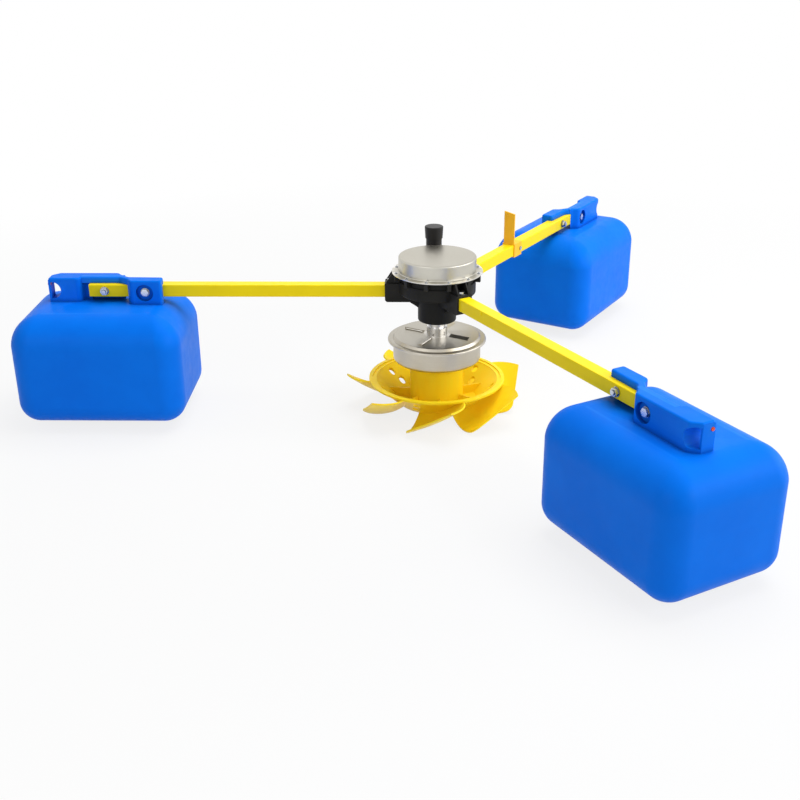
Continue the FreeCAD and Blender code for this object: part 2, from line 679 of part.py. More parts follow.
def make_motor_cover():
    """Drawn stainless cover with a flat top and a screwed flange."""
    body = new_body("motor_cover")
    inside = dim.cover_radius - dim.cover_sheet
    revolve(body, "cover_section", [
        (0, dim.cover_top),
        (dim.cover_radius, dim.cover_top),
        (dim.cover_radius, flange_bottom + dim.cover_sheet),
        (dim.cover_flange_radius, flange_bottom + dim.cover_sheet),
        (dim.cover_flange_radius, flange_bottom),
        (inside, flange_bottom),
        (inside, dim.cover_top - dim.cover_sheet),
        (0, dim.cover_top - dim.cover_sheet),
    ])
    round_edges(body, "cover_top_edge", dim.cover_edge,
                lambda edge: is_ring(edge, dim.cover_radius, dim.cover_top))
    round_edges(body, "cover_inner_edge", dim.cover_edge - dim.cover_sheet,
                lambda edge: is_ring(edge, inside, dim.cover_top - dim.cover_sheet))
    round_edges(body, "cover_flange_root", dim.cover_sheet,
                lambda edge: is_ring(edge, dim.cover_radius, flange_bottom + dim.cover_sheet))
    flange_top = flange_bottom + dim.cover_sheet
    hole = new_sketch(body, "cover_screw_hole", "XY_Plane", flange_top, dim.screw_first_angle)
    draw_circle(hole, (dim.screw_circle_radius, 0), dim.screw_radius + dim.hole_gap)
    repeat_around(body, [pocket(body, hole, dim.cover_sheet)], dim.screw_count)
    return body


def make_cover_gasket():
    body = new_body("cover_gasket")
    revolve(body, "gasket_section", [
        (dim.cover_radius - dim.cover_sheet, dim.rim_height),
        (dim.boss_reach, dim.rim_height),
        (dim.boss_reach, flange_bottom),
        (dim.cover_radius - dim.cover_sheet, flange_bottom),
    ])
    hole = new_sketch(body, "gasket_screw_hole", "XY_Plane", flange_bottom, dim.screw_first_angle)
    draw_circle(hole, (dim.screw_circle_radius, 0), dim.screw_radius + dim.hole_gap)
    repeat_around(body, [pocket(body, hole, dim.gasket_thickness)], dim.screw_count)
    return body


def make_cover_screws():
    """Ring of screws that hold the cover's flange on the housing's bosses."""
    body = new_body("cover_screws")
    seat = flange_bottom + dim.cover_sheet
    head = new_sketch(body, "screw_head", "XY_Plane", seat, dim.screw_first_angle)
    draw_circle(head, (dim.screw_circle_radius, 0), dim.screw_head_radius)
    head_disc = pad(body, head, dim.screw_head_height)
    shank = new_sketch(body, "screw_shank", "XY_Plane", seat, dim.screw_first_angle)
    draw_circle(shank, (dim.screw_circle_radius, 0), dim.screw_radius)
    shank_pin = pad(body, shank, dim.screw_length, True)
    head_top = seat + dim.screw_head_height
    recess = new_sketch(body, "screw_recess", "XY_Plane", head_top, dim.screw_first_angle)
    draw_hexagon(recess, (dim.screw_circle_radius, 0), dim.screw_radius * 1.6)
    recess_cut = pocket(body, recess, dim.screw_head_height * 0.6)
    repeat_around(body, [head_disc, shank_pin, recess_cut], dim.screw_count)
    return body


def make_end_shield():
    """Aluminium cup over the stator, with the upper bearing's seat."""
    body = new_body("end_shield")
    seat = dim.upper_bearing_radius + dim.seat_gap
    inside = dim.chamber_radius
    bearing_top = dim.upper_bearing_bottom + dim.upper_bearing_height
    revolve(body, "shield_section", [
        (seat, dim.upper_bearing_bottom),
        (seat + dim.bearing_lip, dim.upper_bearing_bottom),
        (seat + dim.bearing_lip, dim.shield_top - dim.shield_plate),
        (inside, dim.shield_top - dim.shield_plate),
        (inside, dim.rim_height),
        (dim.shield_radius, dim.rim_height),
        (dim.shield_radius, dim.shield_top),
        (dim.upper_bearing_radius - dim.bearing_lip, dim.shield_top),
        (dim.upper_bearing_radius - dim.bearing_lip, bearing_top),
        (seat, bearing_top),
    ])
    hole = new_sketch(body, "shield_tie_hole", "XY_Plane", dim.shield_top, Size(45.0, "45"))
    draw_circle(hole, (dim.tie_bolt_circle, 0), dim.tie_bolt_radius + dim.hole_gap)
    repeat_around(body, [pocket(body, hole, dim.shield_plate)], dim.tie_bolt_count)
    return body


def make_tie_bolts():
    """Long bolts that clamp the end shield and the stator to the housing's floor."""
    body = new_body("tie_bolts")
    head = new_sketch(body, "tie_head", "XY_Plane", dim.shield_top, Size(45.0, "45"))
    draw_hexagon(head, (dim.tie_bolt_circle, 0), dim.tie_bolt_radius * 3.2)
    head_block = pad(body, head, dim.shield_plate)
    shank = new_sketch(body, "tie_shank", "XY_Plane", dim.shield_top, Size(45.0, "45"))
    draw_circle(shank, (dim.tie_bolt_circle, 0), dim.tie_bolt_radius)
    length = dim.shield_top - dim.chamber_floor + dim.floor_thickness
    shank_pin = pad(body, shank, length, True)
    repeat_around(body, [head_block, shank_pin], dim.tie_bolt_count)
    return body


def make_stator_core():
    """Laminated ring with inward teeth."""
    body = new_body("stator_core")
    outside = dim.chamber_radius - dim.seat_gap
    ring = new_sketch(body, "yoke", "XY_Plane", dim.stator_bottom)
    draw_circle(ring, (0, 0), outside)
    draw_circle(ring, (0, 0), outside - dim.stator_yoke)
    pad(body, ring, dim.stator_height)
    tooth = new_sketch(body, "tooth", "XY_Plane", dim.stator_bottom)
    half = dim.tooth_width / 2
    draw_box(tooth, dim.stator_bore, outside - dim.stator_yoke / 2, -half, half)
    repeat_around(body, [pad(body, tooth, dim.stator_height)], dim.tooth_count)
    hole = new_sketch(body, "stator_tie_hole", "XY_Plane", rotor_top, Size(45.0, "45"))
    draw_circle(hole, (dim.tie_bolt_circle, 0), dim.tie_bolt_radius + dim.hole_gap)
    repeat_around(body, [pocket(body, hole, dim.stator_height)], dim.tie_bolt_count)
    return body


def make_stator_windings():
    """One coil around each tooth."""
    body = new_body("stator_windings")
    coil = new_sketch(body, "coil", "YZ_Plane", dim.stator_bore + dim.coil_thickness)
    near = dim.tooth_width / 2 + dim.seat_gap
    far = near + dim.coil_thickness
    low = dim.stator_bottom - dim.seat_gap
    high = rotor_top + dim.seat_gap
    draw_box(coil, -far, far, low - dim.coil_thickness, high + dim.coil_thickness)
    draw_box(coil, -near, near, low, high)
    yoke_inside = dim.chamber_radius - dim.seat_gap - dim.stator_yoke
    length = yoke_inside - dim.stator_bore - dim.coil_thickness * 1.5
    repeat_around(body, [pad(body, coil, length)], dim.tooth_count)
    return body


def make_ring(name, inner, outer, bottom, top, azimuth=ARM_AZIMUTHS[0][1]):
    """Plain ring about the impeller's axis."""
    body = new_body(name, azimuth)
    revolve(body, name + "_section", [(inner, bottom), (outer, bottom), (outer, top), (inner, top)])
    return body


def make_bearing(name, inner, outer, bottom, height):
    """Sealed ball bearing, with its two shields set back from the rings."""
    body = new_body(name)
    top = bottom + height
    ring = (outer - inner) / 4
    recess = height / 12
    revolve(body, name + "_section", [
        (inner, bottom),
        (inner + ring, bottom),
        (inner + ring, bottom + recess),
        (outer - ring, bottom + recess),
        (outer - ring, bottom),
        (outer, bottom),
        (outer, top),
        (outer - ring, top),
        (outer - ring, top - recess),
        (inner + ring, top - recess),
        (inner + ring, top),
        (inner, top),
    ])
    return body


def make_shaft_seal():
    """Rubber lip seal between the neck and the shaft sleeve."""
    body = new_body("shaft_seal")
    bore = dim.sleeve_radius + dim.seat_gap * 2
    rim = dim.lower_bearing_radius
    top = dim.seal_bottom + dim.seal_height
    lip = dim.seal_height / 4
    revolve(body, "seal_section", [
        (bore, dim.seal_bottom),
        (rim, dim.seal_bottom),
        (rim, top),
        (rim - lip, top),
        (rim - lip, top - lip),
        (bore + lip, top - lip),
        (bore + lip, top),
        (bore, top),
    ])
    return body


def new_connector_body(name):
    """A body whose own axis Z is the cable connector's axis."""
    body = new_body(name)
    body.setExpression("Placement.Base.x", dim.connector_x.formula)
    body.setExpression("Placement.Base.y", dim.connector_y.formula)
    return body


def make_connector_socket():
    """Upright cable connector on the bracket behind the housing; its end is inside the cap."""
    body = new_connector_body("connector_socket")
    spigot_top = (dim.cap_bottom + dim.cap_top) / 2
    collar_top = dim.connector_foot + dim.connector_collar_height
    revolve(body, "connector_section", [
        (dim.connector_bore, dim.connector_foot),
        (dim.connector_collar_radius, dim.connector_foot),
        (dim.connector_collar_radius, collar_top),
        (dim.connector_radius, collar_top),
        (dim.connector_radius, dim.cap_bottom),
        (dim.connector_spigot_radius, dim.cap_bottom),
        (dim.connector_spigot_radius, spigot_top),
        (dim.connector_bore, spigot_top),
    ])
    return body


def make_connector_cap():
    """Cap over the connector's threaded end, a little wider at its top."""
    body = new_connector_body("connector_cap")
    bore = dim.connector_spigot_radius + dim.seat_gap
    ceiling = (dim.cap_bottom + dim.cap_top) / 2
    revolve(body, "cap_section", [
        (bore, dim.cap_bottom),
        (dim.cap_radius - dim.cap_draft, dim.cap_bottom),
        (dim.cap_radius, dim.cap_top),
        (0, dim.cap_top),
        (0, ceiling),
        (bore, ceiling),
    ])
    round_edges(body, "cap_rounding", dim.cap_edge, lambda edge: is_ring(edge, dim.cap_radius, dim.cap_top))
    return body


def make_arm_bolts():
    """One upright bolt for each arm, through its socket, with its head between the ribs."""
    body = new_body("arm_bolts")
    centre = (dim.arm_bolt_place, 0)
    flange = new_sketch(body, "arm_bolt_flange", "XY_Plane", dim.socket_top)
    draw_circle(flange, centre, dim.bolt_flange_radius)
    pieces = [pad(body, flange, dim.bolt_flange)]
    block = new_sketch(body, "arm_bolt_hexagon", "XY_Plane", dim.socket_top)
    draw_hexagon(block, centre, dim.bolt_flats)
    pieces.append(pad(body, block, dim.bolt_head))
    shank = new_sketch(body, "arm_bolt_shank", "XY_Plane", dim.socket_top)
    draw_circle(shank, centre, dim.bolt_radius)
    pieces.append(pad(body, shank, dim.socket_top - dim.socket_bottom - dim.bolt_flange / 2, True))
    repeat_around(body, pieces, len(ARM_AZIMUTHS))
    return body


def make_arm_nuts():
    """Nut of each upright bolt, sunk into the underside of its socket."""
    body = new_body("arm_nuts")
    centre = (dim.arm_bolt_place, 0)
    seat = dim.socket_bottom + dim.nut_recess
    flange = new_sketch(body, "arm_nut_flange", "XY_Plane", seat)
    draw_circle(flange, centre, dim.bolt_flange_radius)
    pieces = [pad(body, flange, dim.bolt_flange, True)]
    block = new_sketch(body, "arm_nut_hexagon", "XY_Plane", seat)
    draw_hexagon(block, centre, dim.bolt_flats)
    pieces.append(pad(body, block, dim.nut_recess - dim.bolt_flange / 2, True))
    hole = new_sketch(body, "arm_nut_bore", "XY_Plane", seat)
    draw_circle(hole, centre, dim.bolt_radius + dim.seat_gap)
    pieces.append(pocket(body, hole, dim.nut_recess))
    repeat_around(body, pieces, len(ARM_AZIMUTHS))
    return body


def make_cross_bolts(name, place, head_seat, head_side):
    """One bolt for each float, lying across its arm, with its head in the saddle's recess."""
    body = new_body(name)
    centre = (place, 0)
    outward = head_side > 0
    flange = new_sketch(body, name + "_flange", "XZ_Plane", head_seat)
    draw_circle(flange, centre, dim.bolt_flange_radius)
    pieces = [pad(body, flange, dim.bolt_flange, outward)]
    block = new_sketch(body, name + "_hexagon", "XZ_Plane", head_seat)
    draw_hexagon(block, centre, dim.bolt_flats)
    pieces.append(pad(body, block, dim.bolt_head, outward))
    shank = new_sketch(body, name + "_shank", "XZ_Plane", head_seat)
    draw_circle(shank, centre, dim.bolt_radius)
    length = head_seat * head_side + arm_half + dim.bolt_nut + dim.bolt_spare
    pieces.append(pad(body, shank, length, not outward))
    repeat_around(body, pieces, len(ARM_AZIMUTHS))
    return body


def make_cross_nuts(name, place, nut_side):
    """Nut of each cross bolt, on the bare side of the arm."""
    body = new_body(name)
    centre = (place, 0)
    outward = nut_side > 0
    seat = arm_half * nut_side
    flange = new_sketch(body, name + "_flange", "XZ_Plane", seat)
    draw_circle(flange, centre, dim.bolt_flange_radius)
    pieces = [pad(body, flange, dim.bolt_flange, outward)]
    block = new_sketch(body, name + "_hexagon", "XZ_Plane", seat)
    draw_hexagon(block, centre, dim.bolt_flats)
    pieces.append(pad(body, block, dim.bolt_nut, outward))
    hole = new_sketch(body, name + "_bore", "XZ_Plane", seat)
    draw_circle(hole, centre, dim.bolt_radius + dim.seat_gap)
    pieces.append(pocket(body, hole, dim.bolt_nut, not outward))
    repeat_around(body, pieces, len(ARM_AZIMUTHS))
    return body


def is_upright(edge, half_height):
    box = edge.BoundBox
    return box.ZLength > half_height and box.XLength < 0.01 and box.YLength < 0.01


def round_tank(body, side, label, inset, height, deck):
    """Round the edges of one box-shaped skin of a float: its top, its corners, its bottom."""
    left = dim.float_start + inset
    right = dim.float_start + dim.float_length - inset
    bottom = deck - height

    def on_skin(edge):
        box = edge.BoundBox
        touches_end = close_to(box.XMin, left.value) or close_to(box.XMax, right.value)
        low = (dim.float_offset - dim.float_width / 2 + inset).value
        high = (dim.float_offset + dim.float_width / 2 - inset).value
        return touches_end or close_to(box.YMin, low) or close_to(box.YMax, high)

    name = "%s_%s" % (label, side)
    round_edges(body, name + "_top", dim.float_top_edge - inset,
                lambda edge: is_level_at(edge, deck) and on_skin(edge))
    round_edges(body, name + "_corner", dim.float_corner - inset,
                lambda edge: is_upright(edge, height.value / 3) and on_skin(edge))
    round_edges(body, name + "_bottom", dim.float_bottom_edge - inset,
                lambda edge: is_level_at(edge, bottom))


def make_float(side, azimuth):
    """Hollow blow-moulded float with the saddle that holds its arm."""
    body = new_body("float_" + side, azimuth)
    right = dim.float_start + dim.float_length
    low = dim.float_offset - dim.float_width / 2
    high = dim.float_offset + dim.float_width / 2
    wall = dim.float_wall
    outside = new_sketch(body, "tank_" + side, "XY_Plane", dim.float_deck)
    draw_box(outside, dim.float_start, right, low, high)
    pad(body, outside, dim.float_height, True)
    inside = new_sketch(body, "hollow_" + side, "XY_Plane", dim.float_deck - wall)
    draw_box(inside, dim.float_start + wall, right - wall, low + wall, high - wall)
    pocket(body, inside, dim.float_height - wall * 2)
    round_tank(body, side, "inner", wall, dim.float_height - wall * 2, dim.float_deck - wall)
    round_tank(body, side, "outer", as_size(0), dim.float_height, dim.float_deck)
    add_saddle(body, side)
    return body


def add_saddle(body, side):
    """Moulded bar that passes from one side of the arm, over it, to the other side."""
    root_depth = dim.float_wall * 0.75
    saddle = new_sketch(body, "saddle_" + side, "XY_Plane", dim.float_deck - root_depth)
    turn_in = (dim.cross_end - dim.cheek_end) / 4
    draw_outline(saddle, [
        (dim.saddle_start, dim.saddle_inner_side),
        (dim.saddle_start, dim.saddle_lip),
        (dim.cheek_end + turn_in, dim.saddle_lip - turn_in / 4),
        (dim.cross_end - turn_in, dim.outer_lip - turn_in),
        (dim.cross_end, dim.saddle_outer_side),
        (dim.saddle_end - dim.saddle_slant, dim.saddle_outer_side),
        (dim.saddle_end, dim.saddle_outer_side + dim.saddle_slant),
        (dim.saddle_end, dim.block_side),
        (dim.block_start + turn_in / 2, dim.block_side),
        (dim.block_start, dim.outer_lip),
        (dim.cross_end + turn_in, dim.outer_lip),
        (dim.cheek_end + turn_in, dim.arm_width / 2),
        (dim.cheek_end, dim.saddle_inner_side),
    ])
    pad(body, saddle, dim.saddle_top - dim.float_deck + root_depth)
    round_edges(body, "saddle_bends_" + side, dim.saddle_bend, is_saddle_bend)
    round_edges(body, "saddle_corners_" + side, dim.saddle_edge,
                lambda edge: is_saddle_corner(edge) and not is_saddle_bend(edge))
    round_edges(body, "saddle_rim_" + side, dim.saddle_top_edge,
                lambda edge: is_level_at(edge, dim.saddle_top))
    cut_saddle(body, side)
    add_fin(body, side, root_depth)


def is_saddle_corner(edge):
    deep = (dim.saddle_top - dim.float_deck).value * 0.9
    return is_upright(edge, deep) and close_to(edge.BoundBox.ZMax, dim.saddle_top.value)


def is_saddle_bend(edge):
    """True for the upright corners between the inner cheek and the outer block."""
    place = edge.BoundBox.Center.x
    past_cheek = place > (dim.cheek_end - dim.slide_gap).value
    before_block = place < (dim.block_start + dim.block_side).value
    return is_saddle_corner(edge) and past_cheek and before_block


def cut_saddle(body, side):
    reach = arm_half + dim.slide_gap
    channel = new_sketch(body, "channel_" + side, "YZ_Plane", dim.arm_end + dim.slide_gap * 3)
    draw_box(channel, -reach, reach, dim.float_deck, reach)
    pocket(body, channel, dim.arm_end - dim.float_start)
    hole = dim.bolt_radius + dim.hole_gap
    inner_seat = dim.saddle_inner_side - dim.recess_depth
    outer_seat = dim.saddle_outer_side + dim.recess_depth
    cross_cut(body, "inner_recess_" + side, dim.saddle_inner_side, (dim.inner_bolt_place, 0),
              dim.recess_radius, dim.recess_depth, False)
    cross_cut(body, "inner_hole_" + side, inner_seat, (dim.inner_bolt_place, 0),
              hole, inner_seat, False)
    cross_cut(body, "outer_recess_" + side, dim.saddle_outer_side, (dim.outer_bolt_place, 0),
              dim.recess_radius, dim.recess_depth, True)
    cross_cut(body, "outer_hole_" + side, outer_seat, (dim.outer_bolt_place, 0),
              hole, -outer_seat, True)
    cross_cut(body, "eye_" + side, dim.saddle_outer_side, (dim.eye_place, 0), dim.eye_radius,
              dim.block_side - dim.saddle_outer_side, True)


def add_fin(body, side, root_depth):
    """Upright fin that closes the mooring eye at the saddle's outer end, with a hole for a plug."""
    fin = new_sketch(body, "fin_" + side, "YZ_Plane", dim.saddle_end)
    draw_box(fin, dim.saddle_outer_side + dim.saddle_slant, dim.block_side,
             dim.float_deck - root_depth, dim.fin_top)
    pad(body, fin, dim.fin_thickness, True)
    plug = new_sketch(body, "plug_hole_" + side, "YZ_Plane", dim.saddle_end)
    draw_circle(plug, (dim.plug_side, dim.plug_height), dim.plug_radius + dim.seat_gap)
    pocket(body, plug, dim.fin_thickness)


def cross_cut(body, name, start, centre, radius, depth, towards_inner_side):
    """Round cut across the arm, from a face of the saddle inwards."""
    sketch = new_sketch(body, name, "XZ_Plane", start)
    draw_circle(sketch, centre, radius)
    # A pocket runs against the sketch's normal, which points to the outer cheek.
    pocket(body, sketch, depth, not towards_inner_side)


def make_float_plugs():
    """Small plug in the fin of each float's saddle."""
    body = new_body("float_plugs")
    plug = new_sketch(body, "plug", "YZ_Plane", dim.saddle_end - dim.fin_thickness)
    draw_circle(plug, (dim.plug_side, dim.plug_height), dim.plug_radius)
    repeat_around(body, [pad(body, plug, dim.fin_thickness + dim.plug_head)], len(ARM_AZIMUTHS))
    return body


def make_cable_clip(azimuth):
    """Orange band around the rear arm, with an upright tab that holds the cable clear."""
    body = new_body("cable_clip", azimuth)
    inside = arm_half + dim.clip_gap
    outside = inside + dim.clip_wall
    band = new_sketch(body, "clip_band", "YZ_Plane", dim.clip_start)
    draw_box(band, -outside, outside, -outside, outside)
    draw_box(band, -inside, inside, -inside, inside)
    pad(body, band, dim.clip_length)
    tab = new_sketch(body, "clip_tab", "YZ_Plane", dim.clip_start)
    half = dim.clip_tab_width / 2
    draw_outline(tab, [
        (-half, inside + dim.clip_wall / 2),
        (half, inside + dim.clip_wall / 2),
        (half, dim.clip_tab_top),
        (-half, dim.clip_tab_top - dim.clip_tab_slope),
    ])
    pad(body, tab, dim.clip_tab_thickness)
    hole = new_sketch(body, "clip_screw_hole", "XZ_Plane", -outside)
    draw_circle(hole, (dim.clip_screw_place, 0), dim.clip_screw_radius + dim.seat_gap)
    pocket(body, hole, dim.clip_wall)
    return body


def make_clip_screw(azimuth):
    body = new_body("clip_screw", azimuth)
    outside = arm_half + dim.clip_gap + dim.clip_wall
    head = new_sketch(body, "clip_screw_head_disc", "XZ_Plane", -outside)
    draw_circle(head, (dim.clip_screw_place, 0), dim.clip_screw_head)
    pad(body, head, dim.clip_screw_radius)
    shank = new_sketch(body, "clip_screw_shank", "XZ_Plane", -outside)
    draw_circle(shank, (dim.clip_screw_place, 0), dim.clip_screw_radius)
    pad(body, shank, dim.clip_wall + dim.clip_gap, True)
    return body


def make_arm_screw(azimuth):
    """Small domed screw head on the side of the front arm."""
    body = new_body("arm_screw", azimuth)
    head = new_sketch(body, "arm_screw_disc", "XZ_Plane", -arm_half)
    draw_circle(head, (dim.arm_screw_place, dim.arm_screw_height), dim.arm_screw_head)
    pad(body, head, dim.arm_screw_head / 2)
    return body


rotor_azimuth = dim.louvre_angle


def make_drive_shaft():
    """Stepped shaft from the upper bearing down to the shaft nut."""
    body = new_body("drive_shaft")
    end_radius = dim.shaft_top_radius
    seat_top = rotor_top + dim.bearing_lip / 2
    seat_bottom = dim.stator_bottom - dim.bearing_lip
    nut_bottom = shaft_nut_seat() - dim.washer_thickness - dim.nut_height
    revolve(body, "shaft_section", [
        (0, dim.upper_bearing_bottom + dim.upper_bearing_height),
        (end_radius, dim.upper_bearing_bottom + dim.upper_bearing_height),
        (end_radius, seat_top),
        (dim.rotor_seat_radius, seat_top),
        (dim.rotor_seat_radius, dim.stator_bottom),
        (dim.rotor_seat_radius + dim.bearing_lip, dim.stator_bottom),
        (dim.rotor_seat_radius + dim.bearing_lip, seat_bottom),
        (dim.shaft_radius, seat_bottom),
        (dim.shaft_radius, dim.lid_top),
        (end_radius, dim.lid_top),
        (end_radius, nut_bottom - dim.bolt_spare),
        (0, nut_bottom - dim.bolt_spare),
    ])
    return body


def shaft_nut_seat():
    return dim.drum_bottom - dim.hub_boss_length


def make_rotor_core():
    return make_ring("rotor_core", dim.rotor_seat_radius + dim.seat_gap, dim.rotor_radius,
                     dim.stator_bottom, rotor_top)


def make_rotor_magnets():
    """Flat magnets around the rotor core."""
    body = new_body("rotor_magnets")
    magnet = new_sketch(body, "magnet", "XY_Plane", dim.stator_bottom)
    half = dim.magnet_width / 2
    face = dim.rotor_radius + dim.seat_gap
    draw_box(magnet, face, face + dim.magnet_thickness, -half, half)
    repeat_around(body, [pad(body, magnet, dim.stator_height)], dim.magnet_count)
    return body


def make_shaft_sleeve():
    """Bright sleeve on the shaft between the neck and the drum's lid, with a groove."""
    body = new_body("shaft_sleeve")
    bore = dim.shaft_radius + dim.seat_gap
    top = dim.lower_bearing_top - dim.lower_bearing_height - dim.slide_gap
    groove_bottom = dim.sleeve_groove_top - dim.sleeve_groove_width
    revolve(body, "sleeve_section", [
        (bore, top),
        (dim.sleeve_radius, top),
        (dim.sleeve_radius, dim.sleeve_groove_top),
        (dim.sleeve_groove_radius, dim.sleeve_groove_top),
        (dim.sleeve_groove_radius, groove_bottom),
        (dim.sleeve_foot_radius, groove_bottom),
        (dim.sleeve_foot_radius, dim.lid_top),
        (bore, dim.lid_top),
    ])
    return body


def make_drum_lid():
    """Dished lid with a turned-down rim and four radial louvres."""
    body = new_body("drum_lid", rotor_azimuth)
    sheet = dim.drum_sheet
    bore = dim.shaft_top_radius + dim.seat_gap
    flange = dim.lid_top - dim.lid_step
    rim_bottom = flange - dim.drum_rim_height
    revolve(body, "lid_section", [
        (bore, dim.lid_top),
        (dim.lid_radius, dim.lid_top),
        (dim.lid_step_radius, flange),
        (dim.drum_flange_radius, flange),
        (dim.drum_flange_radius, rim_bottom),
        (dim.drum_flange_radius - sheet, rim_bottom),
        (dim.drum_flange_radius - sheet, flange - sheet),
        (dim.lid_step_radius - sheet, flange - sheet),
        (dim.lid_radius - sheet, dim.lid_top - sheet),
        (bore, dim.lid_top - sheet),
    ])
    inside = dim.drum_flange_radius - sheet
    round_edges(body, "lid_rim_bead", dim.rim_bead,
                lambda edge: is_ring(edge, dim.drum_flange_radius, flange))
    round_edges(body, "lid_rim_hollow", dim.rim_bead - sheet,
                lambda edge: is_ring(edge, inside, flange - sheet))
    round_edges(body, "lid_top_edge", dim.lid_edge,
                lambda edge: is_ring(edge, dim.lid_radius, dim.lid_top))
    add_louvres(body)
    return body


def add_louvres(body):
    """Pressed louvres with closed ends; each is open along the side that stands up."""
    sheet = dim.drum_sheet
    half = dim.louvre_width / 2
    bump = new_sketch(body, "louvre", "YZ_Plane", dim.louvre_start)
    draw_outline(bump, [
        (-half, dim.lid_top - sheet / 2),
        (-half, dim.lid_top),
        (half, dim.lid_top + dim.louvre_rise),
        (half, dim.lid_top - sheet / 2),
    ])
    raised = pad(body, bump, dim.louvre_length)
    slope = dim.louvre_rise / dim.louvre_width
    edge = half + sheet
    hollow = new_sketch(body, "louvre_hollow", "YZ_Plane", dim.louvre_start + sheet)
    draw_outline(hollow, [
        (-half + sheet * 2, dim.lid_top - sheet * 1.5),
        (-half + sheet * 2, dim.lid_top - sheet + slope * sheet * 2),
        (edge, dim.lid_top - sheet + slope * (edge + half)),
        (edge, dim.lid_top),
        (half, dim.lid_top),
        (half, dim.lid_top - sheet * 1.5),
    ])
    opening = pocket(body, hollow, dim.louvre_length - sheet * 2, True)
    repeat_around(body, [raised, opening], dim.louvre_count)


def make_drum_shell():
    """Deep-drawn drum that hangs from the lid's flange and stands on the impeller's hub."""
    body = new_body("drum_shell")
    sheet = dim.drum_sheet
    bore = dim.shaft_top_radius + dim.seat_gap
    flange = dim.lid_top - dim.lid_step - sheet
    inside = dim.drum_radius - sheet
    revolve(body, "drum_section", [
        (bore, dim.drum_bottom),
        (dim.drum_radius, dim.drum_bottom),
        (dim.drum_radius, flange - sheet),
        (dim.drum_flange_radius - dim.rim_bead, flange - sheet),
        (dim.drum_flange_radius - dim.rim_bead, flange),
        (inside, flange),
        (inside, dim.drum_bottom + sheet),
        (bore, dim.drum_bottom + sheet),
    ])
    round_edges(body, "drum_outer_edge", dim.drum_edge,
                lambda edge: is_ring(edge, dim.drum_radius, dim.drum_bottom))
    round_edges(body, "drum_inner_edge", dim.drum_edge - sheet,
                lambda edge: is_ring(edge, inside, dim.drum_bottom + sheet))
    hole = new_sketch(body, "drum_bolt_hole", "XY_Plane", dim.drum_bottom + sheet)
    draw_circle(hole, (dim.hub_bolt_circle, 0), dim.hub_bolt_radius + dim.hole_gap)
    repeat_around(body, [pocket(body, hole, sheet)], dim.hub_bolt_count)
    return body


def make_hub_bolts():
    """Bolts through the drum's bottom into the impeller's hub plate."""
    body = new_body("hub_bolts")
    seat = dim.drum_bottom + dim.drum_sheet
    head = new_sketch(body, "hub_bolt_head", "XY_Plane", seat)
    draw_hexagon(head, (dim.hub_bolt_circle, 0), dim.hub_bolt_radius * 3.2)
    head_block = pad(body, head, dim.hub_bolt_radius * 1.3)
    shank = new_sketch(body, "hub_bolt_shank", "XY_Plane", seat)
    draw_circle(shank, (dim.hub_bolt_circle, 0), dim.hub_bolt_radius)
    shank_pin = pad(body, shank, dim.drum_sheet + dim.hub_plate, True)
    repeat_around(body, [head_block, shank_pin], dim.hub_bolt_count)
    return body


def make_shaft_nut():
    body = new_body("shaft_nut")
    seat = shaft_nut_seat() - dim.washer_thickness
    block = new_sketch(body, "nut_hexagon", "XY_Plane", seat)
    draw_hexagon(block, (0, 0), dim.nut_flats)
    draw_circle(block, (0, 0), dim.shaft_top_radius + dim.seat_gap)
    pad(body, block, dim.nut_height, True)
    return body


def bowl_outside(height):
    """Radius of the bowl's slanted outside at a height."""
    fall = dim.ring_top - dim.ring_thickness - dim.impeller_bottom
    share = (height - dim.impeller_bottom) / fall
    return dim.bowl_bottom_radius + (dim.bowl_shoulder - dim.bowl_bottom_radius) * share


def make_impeller():
    """One moulding: hub, ribbed conical bowl with its stepped ring, and the hollow-faced blades."""
    body = new_body("impeller", dim.blade_angle)
    ring_bottom = dim.ring_top - dim.ring_thickness
    revolve(body, "impeller_blank", [
        (0, dim.drum_bottom),
        (dim.hub_radius, dim.drum_bottom),
        (dim.hub_radius, dim.ring_top),
        (dim.ring_radius, dim.ring_top),
        (dim.ring_radius, ring_bottom),
        (dim.bowl_shoulder, ring_bottom),
        (dim.bowl_bottom_radius, dim.impeller_bottom),
        (0, dim.impeller_bottom),
    ])
    add_blades(body)
    hollow_bowl(body)
    hollow_hub(body)
    add_bowl_ribs(body)
    cut_ports(body)
    return body


def add_blades(body):
    """Each blade is lofted through three hollow sections, and its lower outer corner is rounded."""
    rows = [
        (dim.blade_root, dim.root_low_side, dim.impeller_bottom, dim.root_high_side, dim.root_belly),
        (dim.blade_middle, dim.middle_low_side, dim.middle_low, dim.middle_high_side, dim.middle_belly),
        (dim.blade_reach, dim.end_low_side, dim.end_low, dim.end_high_side, dim.end_belly),
    ]
    sections = []
    for number, (reach, low_side, low, high_side, belly) in enumerate(rows, start=1):
        section = new_sketch(body, "blade_section_%d" % number, "YZ_Plane", reach)
        draw_blade_section(section, (low_side, low), (high_side, dim.blade_top), belly)
        sections.append(section)
    blade = body.newObject("PartDesign::AdditiveLoft", "blade")
    blade.Profile = sections[0]
    blade.Sections = sections[1:]
    body.Tip = blade
    doc.recompute()
    corner = round_blade_corner(body)
    repeat_around(body, [blade, corner], dim.blade_count)


